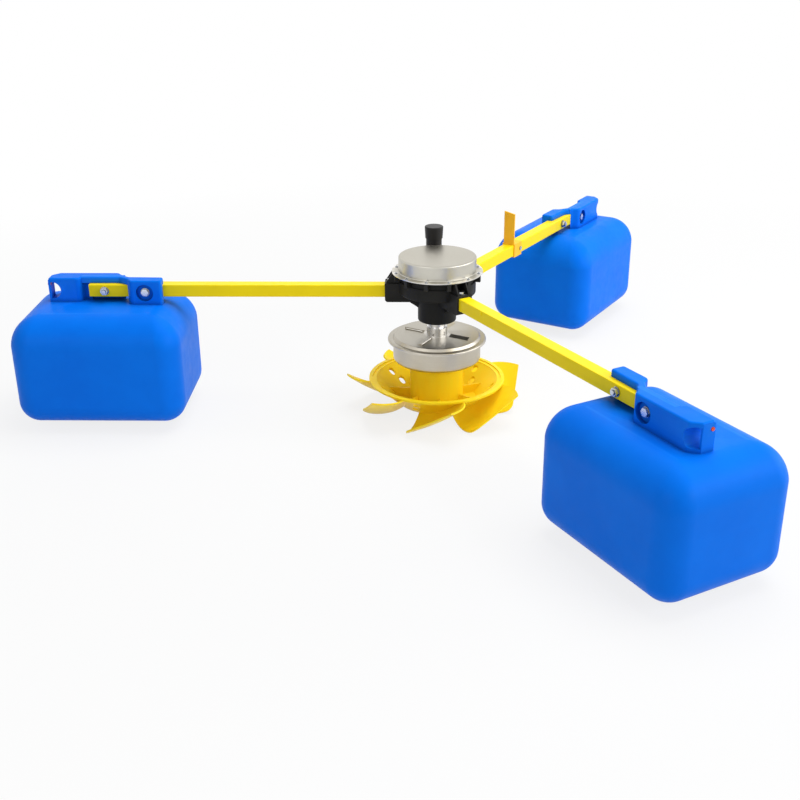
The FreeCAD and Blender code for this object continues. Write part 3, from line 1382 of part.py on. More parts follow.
def draw_blade_section(sketch, low, high, belly):
    """Thin arc from a blade's lower edge to its upper edge, which hangs below its chord."""
    across = high[0] - low[0]
    rise = high[1] - low[1]
    outer = (across * across + rise * rise) / (belly * 8) + belly / 2
    inner = outer - dim.blade_thickness
    chord = math.hypot(across.value, rise.value)
    reach = (outer - belly).value
    middle = (vector_of(low) + vector_of(high)) * 0.5
    centre = middle + Vector(-rise.value, across.value, 0) * (reach / chord)
    start = math.atan2(low[1].value - centre.y, low[0].value - centre.x)
    finish = math.atan2(high[1].value - centre.y, high[0].value - centre.x)
    for radius in (outer, inner):
        circle = Part.Circle(centre, Vector(0, 0, 1), radius.value)
        sketch.addGeometry(Part.ArcOfCircle(circle, start, finish), False)
    outer_arc = sketch.Geometry[0]
    inner_arc = sketch.Geometry[1]
    sketch.addGeometry(Part.LineSegment(outer_arc.StartPoint, inner_arc.StartPoint), False)
    sketch.addGeometry(Part.LineSegment(outer_arc.EndPoint, inner_arc.EndPoint), False)
    sketch.addConstraint(Sketcher.Constraint("Coincident", 1, 3, 0, 3))
    for line, end in ((2, 1), (3, 2)):
        sketch.addConstraint(Sketcher.Constraint("Coincident", line, 1, 0, end))
        sketch.addConstraint(Sketcher.Constraint("Coincident", line, 2, 1, end))
        # Each end of the section is square to the arc.
        sketch.addConstraint(Sketcher.Constraint("PointOnObject", 0, 3, line))
    tie_point(sketch, 0, 1, low)
    tie_point(sketch, 0, 2, high)
    tie(sketch, "Radius", (0,), outer)
    tie(sketch, "Radius", (1,), inner)


def round_blade_corner(body):
    """Cut the corner between a blade's lower edge and its outer end to an arc."""
    radius = dim.blade_corner
    lean = (dim.end_low_side - dim.middle_low_side) / (dim.blade_reach - dim.blade_middle)
    side = dim.end_low_side - lean * radius
    middle = (dim.blade_reach - radius, side + radius)
    cut = new_sketch(body, "blade_corner_cut", "XY_Plane", dim.end_low + radius * 1.5)
    circle = Part.Circle(vector_of(middle), Vector(0, 0, 1), radius.value)
    cut.addGeometry(Part.ArcOfCircle(circle, -math.pi / 2, 0.0), False)
    corners = [
        (middle[0], side),
        (middle[0], side - radius),
        (middle[0] + radius * 2, side - radius),
        (middle[0] + radius * 2, middle[1]),
        (dim.blade_reach, middle[1]),
    ]
    for start, finish in zip(corners, corners[1:]):
        cut.addGeometry(Part.LineSegment(vector_of(start), vector_of(finish)), False)
    cut.addConstraint(Sketcher.Constraint("Coincident", 0, 1, 1, 1))
    for line in (1, 2, 3):
        cut.addConstraint(Sketcher.Constraint("Coincident", line, 2, line + 1, 1))
        tie_point(cut, line, 2, corners[line])
    cut.addConstraint(Sketcher.Constraint("Coincident", 4, 2, 0, 2))
    tie_point(cut, 0, 3, middle)
    tie(cut, "Radius", (0,), radius)
    tie(cut, "DistanceX", (-1, 1, 0, 1), middle[0])
    tie(cut, "DistanceY", (-1, 1, 0, 2), middle[1])
    return pocket(body, cut, radius * 2)


def hollow_bowl(body):
    """Space between the hub and the bowl's wall, with the ring's stepped land above it."""
    floor = dim.impeller_bottom + dim.bowl_floor
    outer_land = dim.ring_radius - dim.ring_land
    inner_land = outer_land - dim.ring_land
    land = dim.ring_top - dim.ring_step
    groove(body, "bowl_space", [
        (dim.hub_radius, dim.ring_top + dim.ring_step),
        (outer_land, dim.ring_top + dim.ring_step),
        (outer_land, land),
        (inner_land, land),
        (inner_land, land - dim.ring_step / 2),
        (bowl_outside(floor) - dim.bowl_wall, floor),
        (dim.hub_radius, floor),
    ])


def hollow_hub(body):
    """The hub is open below, with a boss around the shaft and holes in its top plate."""
    inside = dim.hub_radius - dim.hub_wall
    plate_bottom = dim.drum_bottom - dim.hub_plate
    groove(body, "hub_space", [
        (dim.hub_boss_radius, plate_bottom),
        (inside, plate_bottom),
        (inside, dim.impeller_bottom - dim.bowl_floor),
        (0, dim.impeller_bottom - dim.bowl_floor),
        (0, shaft_nut_seat()),
        (dim.hub_boss_radius, shaft_nut_seat()),
    ])
    bore = new_sketch(body, "hub_bore", "XY_Plane", dim.drum_bottom)
    draw_circle(bore, (0, 0), dim.shaft_top_radius + dim.seat_gap)
    pocket(body, bore, dim.hub_boss_length)
    # The bolts keep the drum's own pattern, so the sketch is turned back by the blade's angle.
    hole = new_sketch(body, "hub_bolt_bore", "XY_Plane", dim.drum_bottom, -dim.blade_angle)
    draw_circle(hole, (dim.hub_bolt_circle, 0), dim.hub_bolt_radius + dim.seat_gap)
    repeat_around(body, [pocket(body, hole, dim.hub_plate)], dim.hub_bolt_count)


def add_bowl_ribs(body):
    """Low upright ribs from the hub to the bowl's wall."""
    floor = dim.impeller_bottom + dim.bowl_floor / 2
    sunk = dim.bowl_wall / 2
    rib = new_sketch(body, "bowl_rib", "XZ_Plane", 0, dim.rib_angle)
    draw_outline(rib, [
        (dim.hub_radius - dim.hub_wall / 2, floor),
        (bowl_outside(floor) - sunk, floor),
        (bowl_outside(dim.rib_top) - sunk, dim.rib_top),
        (dim.hub_radius - dim.hub_wall / 2, dim.rib_top),
    ])
    repeat_around(body, [pad(body, rib, dim.rib_thickness)], dim.blade_count)


def cut_ports(body):
    """Pair of upright holes through the bowl's slanted wall, beside each blade."""
    top = dim.ring_top - dim.ring_step * 4
    depth = top - dim.impeller_bottom - dim.bowl_floor * 2
    ports = []
    for label, circle, angle in (
        ("outer", dim.port_outer_circle, dim.port_outer_angle),
        ("inner", dim.port_inner_circle, dim.port_inner_angle),
    ):
        port = new_sketch(body, label + "_port", "XY_Plane", top, angle)
        draw_circle(port, (circle, 0), dim.port_radius)
        ports.append(pocket(body, port, depth))
    repeat_around(body, ports, dim.blade_count)


def make_fixed_pieces():
    for side, azimuth in ARM_AZIMUTHS:
        make_arm(side, azimuth)
        make_float(side, azimuth)
    make_motor_housing()
    make_motor_cover()
    make_cover_gasket()
    make_cover_screws()
    make_end_shield()
    make_tie_bolts()
    make_stator_core()
    make_stator_windings()
    make_bearing("upper_bearing", dim.shaft_top_radius + dim.seat_gap, dim.upper_bearing_radius,
                 dim.upper_bearing_bottom, dim.upper_bearing_height)
    make_bearing("lower_bearing", dim.shaft_radius + dim.seat_gap, dim.lower_bearing_radius,
                 dim.lower_bearing_top - dim.lower_bearing_height, dim.lower_bearing_height)
    clip_top = dim.lower_bearing_top - dim.lower_bearing_height
    make_ring("bearing_circlip", dim.lower_bearing_radius - dim.bearing_lip,
              dim.lower_bearing_radius + dim.circlip_depth - dim.seat_gap,
              clip_top - dim.circlip_thickness, clip_top)
    make_shaft_seal()
    make_connector_socket()
    make_connector_cap()
    make_arm_bolts()
    make_arm_nuts()
    inner_seat = dim.saddle_inner_side - dim.recess_depth
    outer_seat = dim.saddle_outer_side + dim.recess_depth
    make_cross_bolts("inner_float_bolts", dim.inner_bolt_place, inner_seat, 1)
    make_cross_nuts("inner_float_nuts", dim.inner_bolt_place, -1)
    make_cross_bolts("outer_float_bolts", dim.outer_bolt_place, outer_seat, -1)
    make_cross_nuts("outer_float_nuts", dim.outer_bolt_place, 1)
    make_float_plugs()
    make_cable_clip(ARM_AZIMUTHS[2][1])
    make_clip_screw(ARM_AZIMUTHS[2][1])
    make_arm_screw(ARM_AZIMUTHS[1][1])


def make_turning_pieces():
    make_drive_shaft()
    make_rotor_core()
    make_rotor_magnets()
    make_shaft_sleeve()
    make_drum_lid()
    bore = dim.shaft_top_radius + dim.seat_gap
    make_ring("drum_spacer", bore, dim.spacer_radius, dim.drum_bottom + dim.drum_sheet,
              dim.lid_top - dim.drum_sheet)
    make_drum_shell()
    make_hub_bolts()
    make_impeller()
    make_ring("shaft_washer", bore, dim.washer_radius, shaft_nut_seat() - dim.washer_thickness,
              shaft_nut_seat())
    make_shaft_nut()


def check_and_write():
    """Stop on any failed object or broken shape, then write one file for each piece."""
    doc.recompute()
    for item in doc.Objects:
        if "Invalid" in item.State or "Error" in item.State:
            raise RuntimeError("%s failed: %s" % (item.Name, item.State))
    for piece in nodes:
        if piece.Shape.isNull() or not piece.Shape.isValid() or not piece.Shape.Solids:
            raise RuntimeError("%s has no valid solid" % piece.Label)
    os.makedirs("parts", exist_ok=True)
    for piece in nodes:
        piece.Shape.exportStep("parts/%s.step" % piece.Label)
        millilitres = round(piece.Shape.Volume / 1000.0, 2)
        print(piece.Label, len(piece.Shape.Solids), "solids, volume", millilitres, "ml")


make_fixed_pieces()
make_turning_pieces()
check_and_write()
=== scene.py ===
"""Looks of the pond aerator: a material for every piece, fine trim, light and camera."""
import math

import bmesh
import bpy
from mathutils import Matrix, Vector


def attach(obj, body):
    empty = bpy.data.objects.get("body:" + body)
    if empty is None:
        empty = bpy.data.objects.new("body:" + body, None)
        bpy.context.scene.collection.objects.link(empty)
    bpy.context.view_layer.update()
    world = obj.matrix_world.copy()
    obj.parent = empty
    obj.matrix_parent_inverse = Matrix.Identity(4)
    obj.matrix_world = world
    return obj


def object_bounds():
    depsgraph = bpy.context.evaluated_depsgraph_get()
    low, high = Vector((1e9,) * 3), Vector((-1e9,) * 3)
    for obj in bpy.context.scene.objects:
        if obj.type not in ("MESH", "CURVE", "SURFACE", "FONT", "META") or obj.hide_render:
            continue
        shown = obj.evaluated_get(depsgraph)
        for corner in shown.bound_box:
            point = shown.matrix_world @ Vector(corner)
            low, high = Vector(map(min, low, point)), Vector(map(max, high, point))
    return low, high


# Places and sizes in metres and angles in degrees, about the impeller's axis.
ARM_AZIMUTHS = {"left": 180.0, "front": -60.0, "rear": 60.0}
ARM_HEIGHT = -0.0847  # middle line of the arms

# The saddle's lip, along its arm and then beside and above the arm's middle line. Its top is
# 0.03 mm above the saddle's own, so that the two don't lie in one plane.
LIP_ALONG = (0.760, 0.866)
LIP_BACK, LIP_FRONT = -0.0145, 0.0010
LIP_FOOT, LIP_TOP = 0.0155, 0.03053
LIP_ROUNDING = 0.0045
LIP_STEPS = 8

# The louvres of the drum's lid, along and beside their middle lines and above the arms'.
LOUVRE_AZIMUTHS = (-29.0, 61.0, 151.0, 241.0)
WEB_ALONG = (0.0373, 0.0857)
WEB_SIDE, WEB_FOOT = 0.0028, -0.1158
WEB_REACH, WEB_RISE = 0.0026, 0.0042
WEB_SHEET = 0.0006
WEB_STEPS = 6

SHARP_ANGLE = 30.0

# The floor is plain white from FLOOR_FAR outwards, and FLOOR_GLOW of it nearer than FLOOR_NEAR.
FLOOR_REACH = 14.0
FLOOR_NEAR, FLOOR_FAR = 1.0, 2.6
FLOOR_GLOW = 0.82
FLOOR_COLOUR = 0.74
FILL_STRENGTH = 0.36

CAMERA_PLACE = (-0.0191, -2.6061, 0.7777)
CAMERA_PITCH, CAMERA_YAW, CAMERA_ROLL = 23.906, -1.603, -0.434
CAMERA_LENS, CAMERA_SENSOR = 50.797, 36.0

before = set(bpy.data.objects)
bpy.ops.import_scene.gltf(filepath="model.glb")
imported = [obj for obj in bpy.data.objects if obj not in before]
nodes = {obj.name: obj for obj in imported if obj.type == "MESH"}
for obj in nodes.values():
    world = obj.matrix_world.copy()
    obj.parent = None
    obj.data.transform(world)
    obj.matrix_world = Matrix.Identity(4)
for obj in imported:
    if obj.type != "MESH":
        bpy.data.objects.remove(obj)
cad_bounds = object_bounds()


def shade(colour, share):
    """A colour at a share of its brightness."""
    return tuple(channel * share for channel in colour)


class Graph:
    """A material's node tree, with short names for the nodes that recur."""

    def __init__(self, name):
        self.material = bpy.data.materials.new(name)
        self.material.use_nodes = True
        self.tree = self.material.node_tree
        self.shader = self.tree.nodes["Principled BSDF"]
        self.place = self.tree.nodes.new("ShaderNodeTexCoord").outputs["Object"]

    def feed(self, made, key, value):
        """Link a socket to an input, or set the input to a value."""
        if isinstance(value, bpy.types.NodeSocket):
            self.tree.links.new(value, made.inputs[key])
        else:
            made.inputs[key].default_value = value

    def node(self, kind, *first, **named):
        """A new node, with its first inputs in their order and others by name."""
        made = self.tree.nodes.new("ShaderNode" + kind)
        for key, value in [*enumerate(first), *named.items()]:
            self.feed(made, key, value)
        return made

    def math(self, operation, *values):
        made = self.node("Math", *values)
        made.operation = operation
        return made.outputs[0]

    def scaled(self, vector, amounts):
        made = self.node("VectorMath", vector, amounts)
        made.operation = "MULTIPLY"
        return made.outputs[0]

    def noise(self, scale, detail=3.0, roughness=0.5, vector=None):
        made = self.node("TexNoise", Scale=scale, Detail=detail, Roughness=roughness,
                         Vector=vector or self.place)
        return made.outputs["Fac"]

    def ramp(self, value, low, high, start, finish):
        """From start at low to finish at high, and level beyond."""
        made = self.node("MapRange", Value=value)
        for key, limit in (("From Min", low), ("From Max", high),
                           ("To Min", start), ("To Max", finish)):
            self.feed(made, key, limit)
        return made.outputs["Result"]

    def blend(self, factor, first, second):
        """The first colour where the factor is 0 and the second where it is 1."""
        made = self.tree.nodes.new("ShaderNodeMix")
        made.data_type = "RGBA"
        self.feed(made, 0, factor)
        for key, colour in ((6, first), (7, second)):
            fixed = isinstance(colour, tuple)
            self.feed(made, key, (*colour, 1.0) if fixed else colour)
        return made.outputs[2]

    def polar(self, across, around, up):
        """A vector of radius, angle and height about the impeller's axis, each scaled."""
        x, y, z = self.node("SeparateXYZ", self.place).outputs
        square = self.math("ADD", self.math("MULTIPLY", x, x), self.math("MULTIPLY", y, y))
        joined = self.node("CombineXYZ",
                           self.math("MULTIPLY", self.math("SQRT", square), across),
                           self.math("MULTIPLY", self.math("ARCTAN2", y, x), around),
                           self.math("MULTIPLY", z, up))
        return joined.outputs[0]

    def bumps(self, *layers):
        """Stack bump layers of (height, strength, distance in metres)."""
        normal = None
        for height, strength, distance in layers:
            made = self.node("Bump", Height=height, Strength=strength, Distance=distance)
            if normal:
                self.feed(made, "Normal", normal)
            normal = made.outputs["Normal"]
        self.feed(self.shader, "Normal", normal)

    def sharp_edges(self, amount, low, high):
        """An amount on sharp outer edges and 0 elsewhere, from the mesh's own curvature."""
        made = self.node("NewGeometry")
        return self.ramp(made.outputs["Pointiness"], low, high, 0.0, amount)

    def painted_crevice_shade(self, distance, low, high):
        """A mask for painted shade, from ambient occlusion: 1 deep in corners and recesses and 0
        in the open.
        """
        made = self.node("AmbientOcclusion", Distance=distance)
        made.samples = 8
        return self.ramp(made.outputs["AO"], low, high, 1.0, 0.0)

    def colour(self):
        """The socket that feeds the shader's colour so far."""
        return self.shader.inputs["Base Color"].links[0].from_socket

    def settings(self, **values):
        """Feed the shader's inputs, with their names' blanks written as underscores."""
        for key, value in values.items():
            self.feed(self.shader, key.replace("_", " "), value)


def moulded_plastic(name, colour, deep, roughness, grain, grain_height, gloss=0.2):
    """Moulded plastic: slow drift of shade, fine grain, and a sheen that varies a little."""
    g = Graph(name)
    drift = g.noise(9.0, 4.0, 0.6)
    speck = g.noise(grain * 1.7, 2.0, 0.6)
    tone = g.blend(g.ramp(drift, 0.35, 0.65, 0.0, 0.55), colour, deep)
    tone = g.blend(g.ramp(speck, 0.62, 0.8, 0.0, 0.12), tone, shade(colour, 0.6))
    rough = g.ramp(g.noise(38.0, 5.0, 0.65), 0.3, 0.7, roughness - 0.06, roughness + 0.08)
    g.settings(Base_Color=tone, Roughness=rough, Specular_IOR_Level=gloss)
    g.bumps((g.noise(grain, 3.0, 0.55), 0.35, grain_height),
            (g.noise(14.0, 2.0, 0.5), 0.25, 0.0008))
    return g


def float_material():
    """Blue polyethylene with soft upright scuffs, a painted highlight on its sharp edges and
    painted shade in its recesses.
    """
    g = moulded_plastic("float_blue_hdpe", (0.001, 0.174, 0.83), (0.001, 0.144, 0.75),
                        0.42, 900.0, 0.00006, 0.06)
    scuff = g.noise(60.0, 6.0, 0.7, g.scaled(g.place, (1.0, 1.0, 5.0)))
    tone = g.blend(g.ramp(scuff, 0.66, 0.82, 0.0, 0.14), g.colour(), (0.03, 0.30, 0.95))
    # Painted highlight: sharp edges turn a lighter blue, as if they caught the light.
    tone = g.blend(g.sharp_edges(0.25, 0.54, 0.66), tone, (0.04, 0.32, 0.96))
    # Painted shade: corners and recesses darkened from ambient occlusion.
    tone = g.blend(g.painted_crevice_shade(0.018, 0.20, 0.85), tone, (0.001, 0.034, 0.26))
    g.settings(Base_Color=tone)
    return g.material


def painted_arm_material():
    """Yellow paint with fine scratches and a painted highlight on the tube's corners."""
    g = Graph("arm_yellow_paint")
    drift = g.noise(7.0, 3.0, 0.5)
    tone = g.blend(g.ramp(drift, 0.3, 0.7, 0.0, 1.0), (0.96, 0.72, 0.001), (0.90, 0.65, 0.001))
    scratch = g.noise(55.0, 8.0, 0.75, g.scaled(g.place, (1.0, 1.0, 9.0)))
    tone = g.blend(g.ramp(scratch, 0.70, 0.80, 0.0, 0.35), tone, (0.60, 0.46, 0.02))
    # Painted highlight: sharp corners get a brighter yellow.
    tone = g.blend(g.sharp_edges(0.35, 0.53, 0.60), tone, (0.98, 0.80, 0.02))
    rough = g.ramp(g.noise(120.0, 3.0), 0.3, 0.7, 0.30, 0.42)
    g.settings(Base_Color=tone, Roughness=rough, Specular_IOR_Level=0.10)
    g.bumps((g.noise(700.0, 2.0, 0.4), 0.25, 0.00008), (scratch, 0.08, 0.0001))
    return g.material


def spun_steel(name, colour, roughness, across, lines=0.25, grain=0.0, painted_top_shade=None):
    """Steel with fine turning or spinning lines around the impeller's axis.

    The last argument is a darker colour for level, upward-facing faces, painted shade on the
    tops; when it is given, sharp edges also get a painted highlight.
    """
    g = Graph(name)
    rings = g.noise(1.0, 4.0, 0.7, g.polar(across, 2.2, across))
    cloud = g.noise(18.0, 4.0, 0.6)
    speck = g.noise(1300.0, 2.0, 0.7)
    tone = g.blend(g.ramp(cloud, 0.3, 0.7, 0.0, 1.0), colour, shade(colour, 0.92))
    # Painted shade: faces that point up get the darker top colour.
    if painted_top_shade:
        lie = g.node("SeparateXYZ", g.node("NewGeometry").outputs["Normal"])
        tone = g.blend(g.ramp(lie.outputs[2], 0.75, 0.97, 0.0, 1.0), tone, painted_top_shade)
    tone = g.blend(g.ramp(rings, 0.35, 0.7, 0.0, lines), tone, shade(colour, 0.66))
    tone = g.blend(g.ramp(speck, 0.35, 0.65, 0.0, grain), tone, shade(colour, 0.60))
    stain = g.ramp(g.noise(210.0, 3.0, 0.7), 0.70, 0.84, 0.0, 0.18)
    tone = g.blend(stain, tone, (0.36, 0.34, 0.31))
    # Painted highlight: sharp edges turn much lighter.
    if painted_top_shade:
        tone = g.blend(g.sharp_edges(0.75, 0.53, 0.62), tone, (0.90, 0.88, 0.84))
    rough = g.math("ADD", g.ramp(rings, 0.3, 0.7, roughness - 0.04, roughness + 0.05),
                   g.ramp(speck, 0.3, 0.7, -0.03, 0.03))
    g.settings(Base_Color=tone, Metallic=1.0, Roughness=rough, Anisotropic=0.3)
    g.bumps((rings, 0.10, 0.00005), (speck, 0.10, 0.00005),
            (g.noise(26.0, 2.0, 0.5), 0.10, 0.0004))
    return g.material


def housing_material():
    """Black nylon, a little greyer along its edges."""
    g = moulded_plastic("housing_black_nylon", (0.013, 0.013, 0.012), (0.021, 0.020, 0.018),
                        0.48, 1400.0, 0.00007, 0.11)
    # Sharp edges turn a lighter grey.
    greyer_edges = g.sharp_edges(0.5, 0.52, 0.62)
    g.settings(Base_Color=g.blend(greyer_edges, g.colour(), (0.050, 0.049, 0.046)))
    return g.material


def impeller_material():
    """Yellow polypropylene with faint flow lines where the plastic ran out from the hub."""
    g = moulded_plastic("impeller_yellow_pp", (1.0, 0.73, 0.016), (1.0, 0.67, 0.012),
                        0.38, 1100.0, 0.00005, 0.14)
    flow = g.noise(1.0, 3.0, 0.5, g.polar(22.0, 9.0, 22.0))
    tone = g.blend(g.ramp(flow, 0.45, 0.62, 0.0, 0.25), g.colour(), (1.0, 0.79, 0.03))
    g.settings(Base_Color=tone, Subsurface_Weight=0.12, Subsurface_Scale=1.0,
               Subsurface_Radius=(0.006, 0.003, 0.001))
    return g.material


def zinc_material():
    """Bright zinc plating with a blue cast, with a painted highlight on its sharp edges and
    painted shade in its corners.
    """
    g = Graph("fastener_zinc")
    grain = g.noise(900.0, 3.0, 0.6)
    cloud = g.noise(160.0, 3.0, 0.6)
    tone = g.blend(g.ramp(cloud, 0.3, 0.7, 0.0, 1.0), (0.47, 0.51, 0.58), (0.34, 0.38, 0.45))
    # Painted highlight: sharp edges turn lighter.
    tone = g.blend(g.sharp_edges(0.6, 0.51, 0.58), tone, (0.85, 0.87, 0.90))
    # Painted shade: corners and recesses darkened from ambient occlusion.
    tone = g.blend(g.painted_crevice_shade(0.006, 0.45, 0.95), tone, (0.09, 0.10, 0.12))
    g.settings(Base_Color=tone, Metallic=1.0, Roughness=g.ramp(grain, 0.3, 0.7, 0.18, 0.30))
    g.bumps((grain, 0.2, 0.00005))
    return g.material


def rubber_material(name, colour):
    """Matt rubber with a little dust on it."""
    g = Graph(name)
    dust = g.noise(240.0, 5.0, 0.7)
    pale = tuple(channel + 0.05 for channel in colour)
    tone = g.blend(g.ramp(dust, 0.5, 0.8, 0.0, 0.5), colour, pale)
    g.settings(Base_Color=tone, Roughness=g.ramp(dust, 0.3, 0.7, 0.6, 0.8))
    g.bumps((g.noise(1500.0, 2.0), 0.3, 0.00008))
    return g.material


def laminated_material(name, colour):
    """Stacked sheet steel under varnish, with fine level lines."""
    g = Graph(name)
    wave = g.node("TexWave", Scale=320.0, Distortion=0.4, Vector=g.place)
    wave.bands_direction = "Z"
    tone = g.blend(wave.outputs["Fac"], colour, shade(colour, 0.55))
    g.settings(Base_Color=tone, Metallic=0.85,
               Roughness=g.ramp(g.noise(300.0), 0.3, 0.7, 0.38, 0.5))
    g.bumps((wave.outputs["Fac"], 0.3, 0.0001))
    return g.material


def winding_material():
    """Enamelled copper wire laid side by side around each tooth."""
    g = Graph("winding_copper")
    wave = g.node("TexWave", Scale=1.0, Distortion=0.6, Vector=g.polar(420.0, 0.0, 60.0))
    wave.bands_direction = "X"
    tone = g.blend(wave.outputs["Fac"], (0.62, 0.24, 0.08), (0.30, 0.10, 0.03))
    g.settings(Base_Color=tone, Metallic=0.9,
               Roughness=g.ramp(g.noise(500.0), 0.3, 0.7, 0.25, 0.38))
    g.bumps((wave.outputs["Fac"], 0.5, 0.0002))
    return g.material


def cast_aluminium_material():
    """Aluminium as it comes from the mould, grainy and dull."""
    g = Graph("shield_cast_aluminium")
    grain = g.noise(700.0, 5.0, 0.7)
    tone = g.blend(g.ramp(grain, 0.3, 0.7, 0.0, 1.0), (0.62, 0.63, 0.64), (0.48, 0.49, 0.50))
    g.settings(Base_Color=tone, Metallic=1.0, Roughness=g.ramp(grain, 0.3, 0.7, 0.45, 0.6))
    g.bumps((grain, 0.4, 0.00015))
    return g.material


def paint(material, *names):
    """Give CAD nodes a material in place of their plain one."""
    for name in names:
        mesh = nodes[name].data
        mesh.materials.clear()
        mesh.materials.append(material)


def paint_hidden_parts():
    """Materials of the motor's inside and of the seals."""
    paint(rubber_material("gasket_rubber_black", (0.03, 0.03, 0.03)), "cover_gasket")
    paint(rubber_material("seal_rubber_black", (0.025, 0.025, 0.025)), "shaft_seal")
    paint(laminated_material("lamination_steel_grey", (0.30, 0.30, 0.31)),
          "stator_core", "rotor_core")
    paint(laminated_material("magnet_dark_plate", (0.22, 0.22, 0.23)), "rotor_magnets")
    paint(winding_material(), "stator_windings")
    paint(cast_aluminium_material(), "end_shield")
    paint(spun_steel("bearing_ground_steel", (0.76, 0.76, 0.76), 0.18, 2400.0),
          "upper_bearing", "lower_bearing")


def paint_small_plastics():
    """Materials of the connector, the clip and the plugs."""
    paint(moulded_plastic("connector_black_nylon", (0.016, 0.015, 0.015), (0.024, 0.023, 0.022),
                          0.40, 1200.0, 0.00006).material, "connector_socket", "connector_cap")
    paint(moulded_plastic("clip_orange_nylon", (1.0, 0.56, 0.025), (1.0, 0.48, 0.02),
                          0.42, 1200.0, 0.00006).material, "cable_clip")
    paint(moulded_plastic("plug_red_nylon", (0.85, 0.09, 0.02), (0.75, 0.06, 0.015),
                          0.42, 1200.0, 0.00005).material, "float_plugs")


# The last colour of each steel is painted shade on its level top faces.
cover_steel = spun_steel("cover_spun_steel", (0.62, 0.60, 0.53), 0.36, 900.0,
                         lines=0.14, grain=0.22, painted_top_shade=(0.45, 0.425, 0.36))
drum_steel = spun_steel("drum_spun_steel", (0.56, 0.52, 0.44), 0.34, 800.0,
                        lines=0.20, grain=0.20, painted_top_shade=(0.41, 0.385, 0.33))
float_blue = float_material()
paint(cover_steel, "motor_cover")
paint(drum_steel, "drum_lid", "drum_shell")
paint(float_blue, "float_left", "float_front", "float_rear")
paint(spun_steel("turned_shaft_steel", (0.72, 0.71, 0.70), 0.24, 1600.0),
      "drive_shaft", "shaft_sleeve", "drum_spacer")
paint(housing_material(), "motor_housing")
paint(painted_arm_material(), "arm_left", "arm_front", "arm_rear", "arm_screw")
paint(impeller_material(), "impeller")
paint(zinc_material(), "cover_screws", "tie_bolts", "arm_bolts", "arm_nuts",
      "inner_float_bolts", "inner_float_nuts", "outer_float_bolts", "outer_float_nuts",
      "clip_screw", "hub_bolts", "shaft_washer", "shaft_nut", "bearing_circlip")
paint_small_plastics()
paint_hidden_parts()


def turned(azimuth):
    """Turns a place along, beside and above a line from the axis into a place in the scene."""
    return (Matrix.Rotation(math.radians(azimuth), 4, "Z")
            @ Matrix.Translation((0.0, 0.0, ARM_HEIGHT)))


def quarter_arc(middle, reach, rise, steps):
    """Places beside and above a line, from one side of the middle up to its top."""
    arc = []
    for step in range(steps + 1):
        turn = math.radians(step * 90.0 / steps)
        arc.append((middle[0] + reach * math.cos(turn), middle[1] + rise * math.sin(turn)))
    return arc


def add_bar(work, along, profile, place):
    """Adds a closed bar between two places along a line, with a profile about that line."""
    first, last = [[work.verts.new(place @ Vector((end, beside, above)))
                    for beside, above in profile] for end in along]
    work.faces.new(first)
    work.faces.new(reversed(last))
    for here in range(len(profile)):
        after = (here + 1) % len(profile)
        work.faces.new((first[here], first[after], last[after], last[here]))


def finish_piece(work, name, material, body):
    """Turns a finished mesh into a piece that rides on a body."""
    bmesh.ops.recalc_face_normals(work, faces=work.faces)
    mesh = bpy.data.meshes.new(name)
    work.to_mesh(mesh)
    work.free()
    mesh.materials.append(material)
    mesh.shade_smooth()
    mesh.set_sharp_from_angle(angle=math.radians(SHARP_ANGLE))
    piece = bpy.data.objects.new(name, mesh)
    bpy.context.collection.objects.link(piece)
    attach(piece, body)


def make_saddle_lip(side):
    """Lip of the saddle that reaches over the arm's top, a little past the arm's middle."""
    middle = (LIP_FRONT - LIP_ROUNDING, LIP_TOP - LIP_ROUNDING)
    edge = quarter_arc(middle, LIP_ROUNDING, LIP_ROUNDING, LIP_STEPS)
    profile = [(LIP_BACK, LIP_FOOT), (LIP_BACK, LIP_TOP), *reversed(edge), (LIP_FRONT, LIP_FOOT)]
    work = bmesh.new()
    add_bar(work, LIP_ALONG, profile, turned(ARM_AZIMUTHS[side]))
    finish_piece(work, "saddle_lip_" + side, float_blue, "frame")


def make_louvre_webs():
    """Rounded webs just inside the open sides of the lid's louvres."""
    middle = (WEB_SIDE, WEB_FOOT)
    outer = quarter_arc(middle, WEB_REACH, WEB_RISE, WEB_STEPS)
    inner = quarter_arc(middle, WEB_REACH - WEB_SHEET, WEB_RISE - WEB_SHEET, WEB_STEPS)
    work = bmesh.new()
    for azimuth in LOUVRE_AZIMUTHS:
        add_bar(work, WEB_ALONG, outer + inner[::-1], turned(azimuth))
    finish_piece(work, "louvre_webs", drum_steel, "rotor")


def combined(tree, operation, first, second):
    """What a math node makes of two sockets."""
    made = tree.nodes.new("ShaderNodeMath")
    made.operation = operation
    tree.links.new(first, made.inputs[0])
    tree.links.new(second, made.inputs[1])
    return made.outputs[0]


def seen_ray(tree, share=None):
    """1 for rays that metal or glass sends on, and 1 or a share for rays from the camera."""
    path = tree.nodes.new("ShaderNodeLightPath")
    seen = path.outputs["Is Camera Ray"]
    if share is not None:
        seen = combined(tree, "MULTIPLY", seen, share)
    for name in ("Is Glossy Ray", "Is Transmission Ray"):
        seen = combined(tree, "MAXIMUM", seen, path.outputs[name])
    return seen


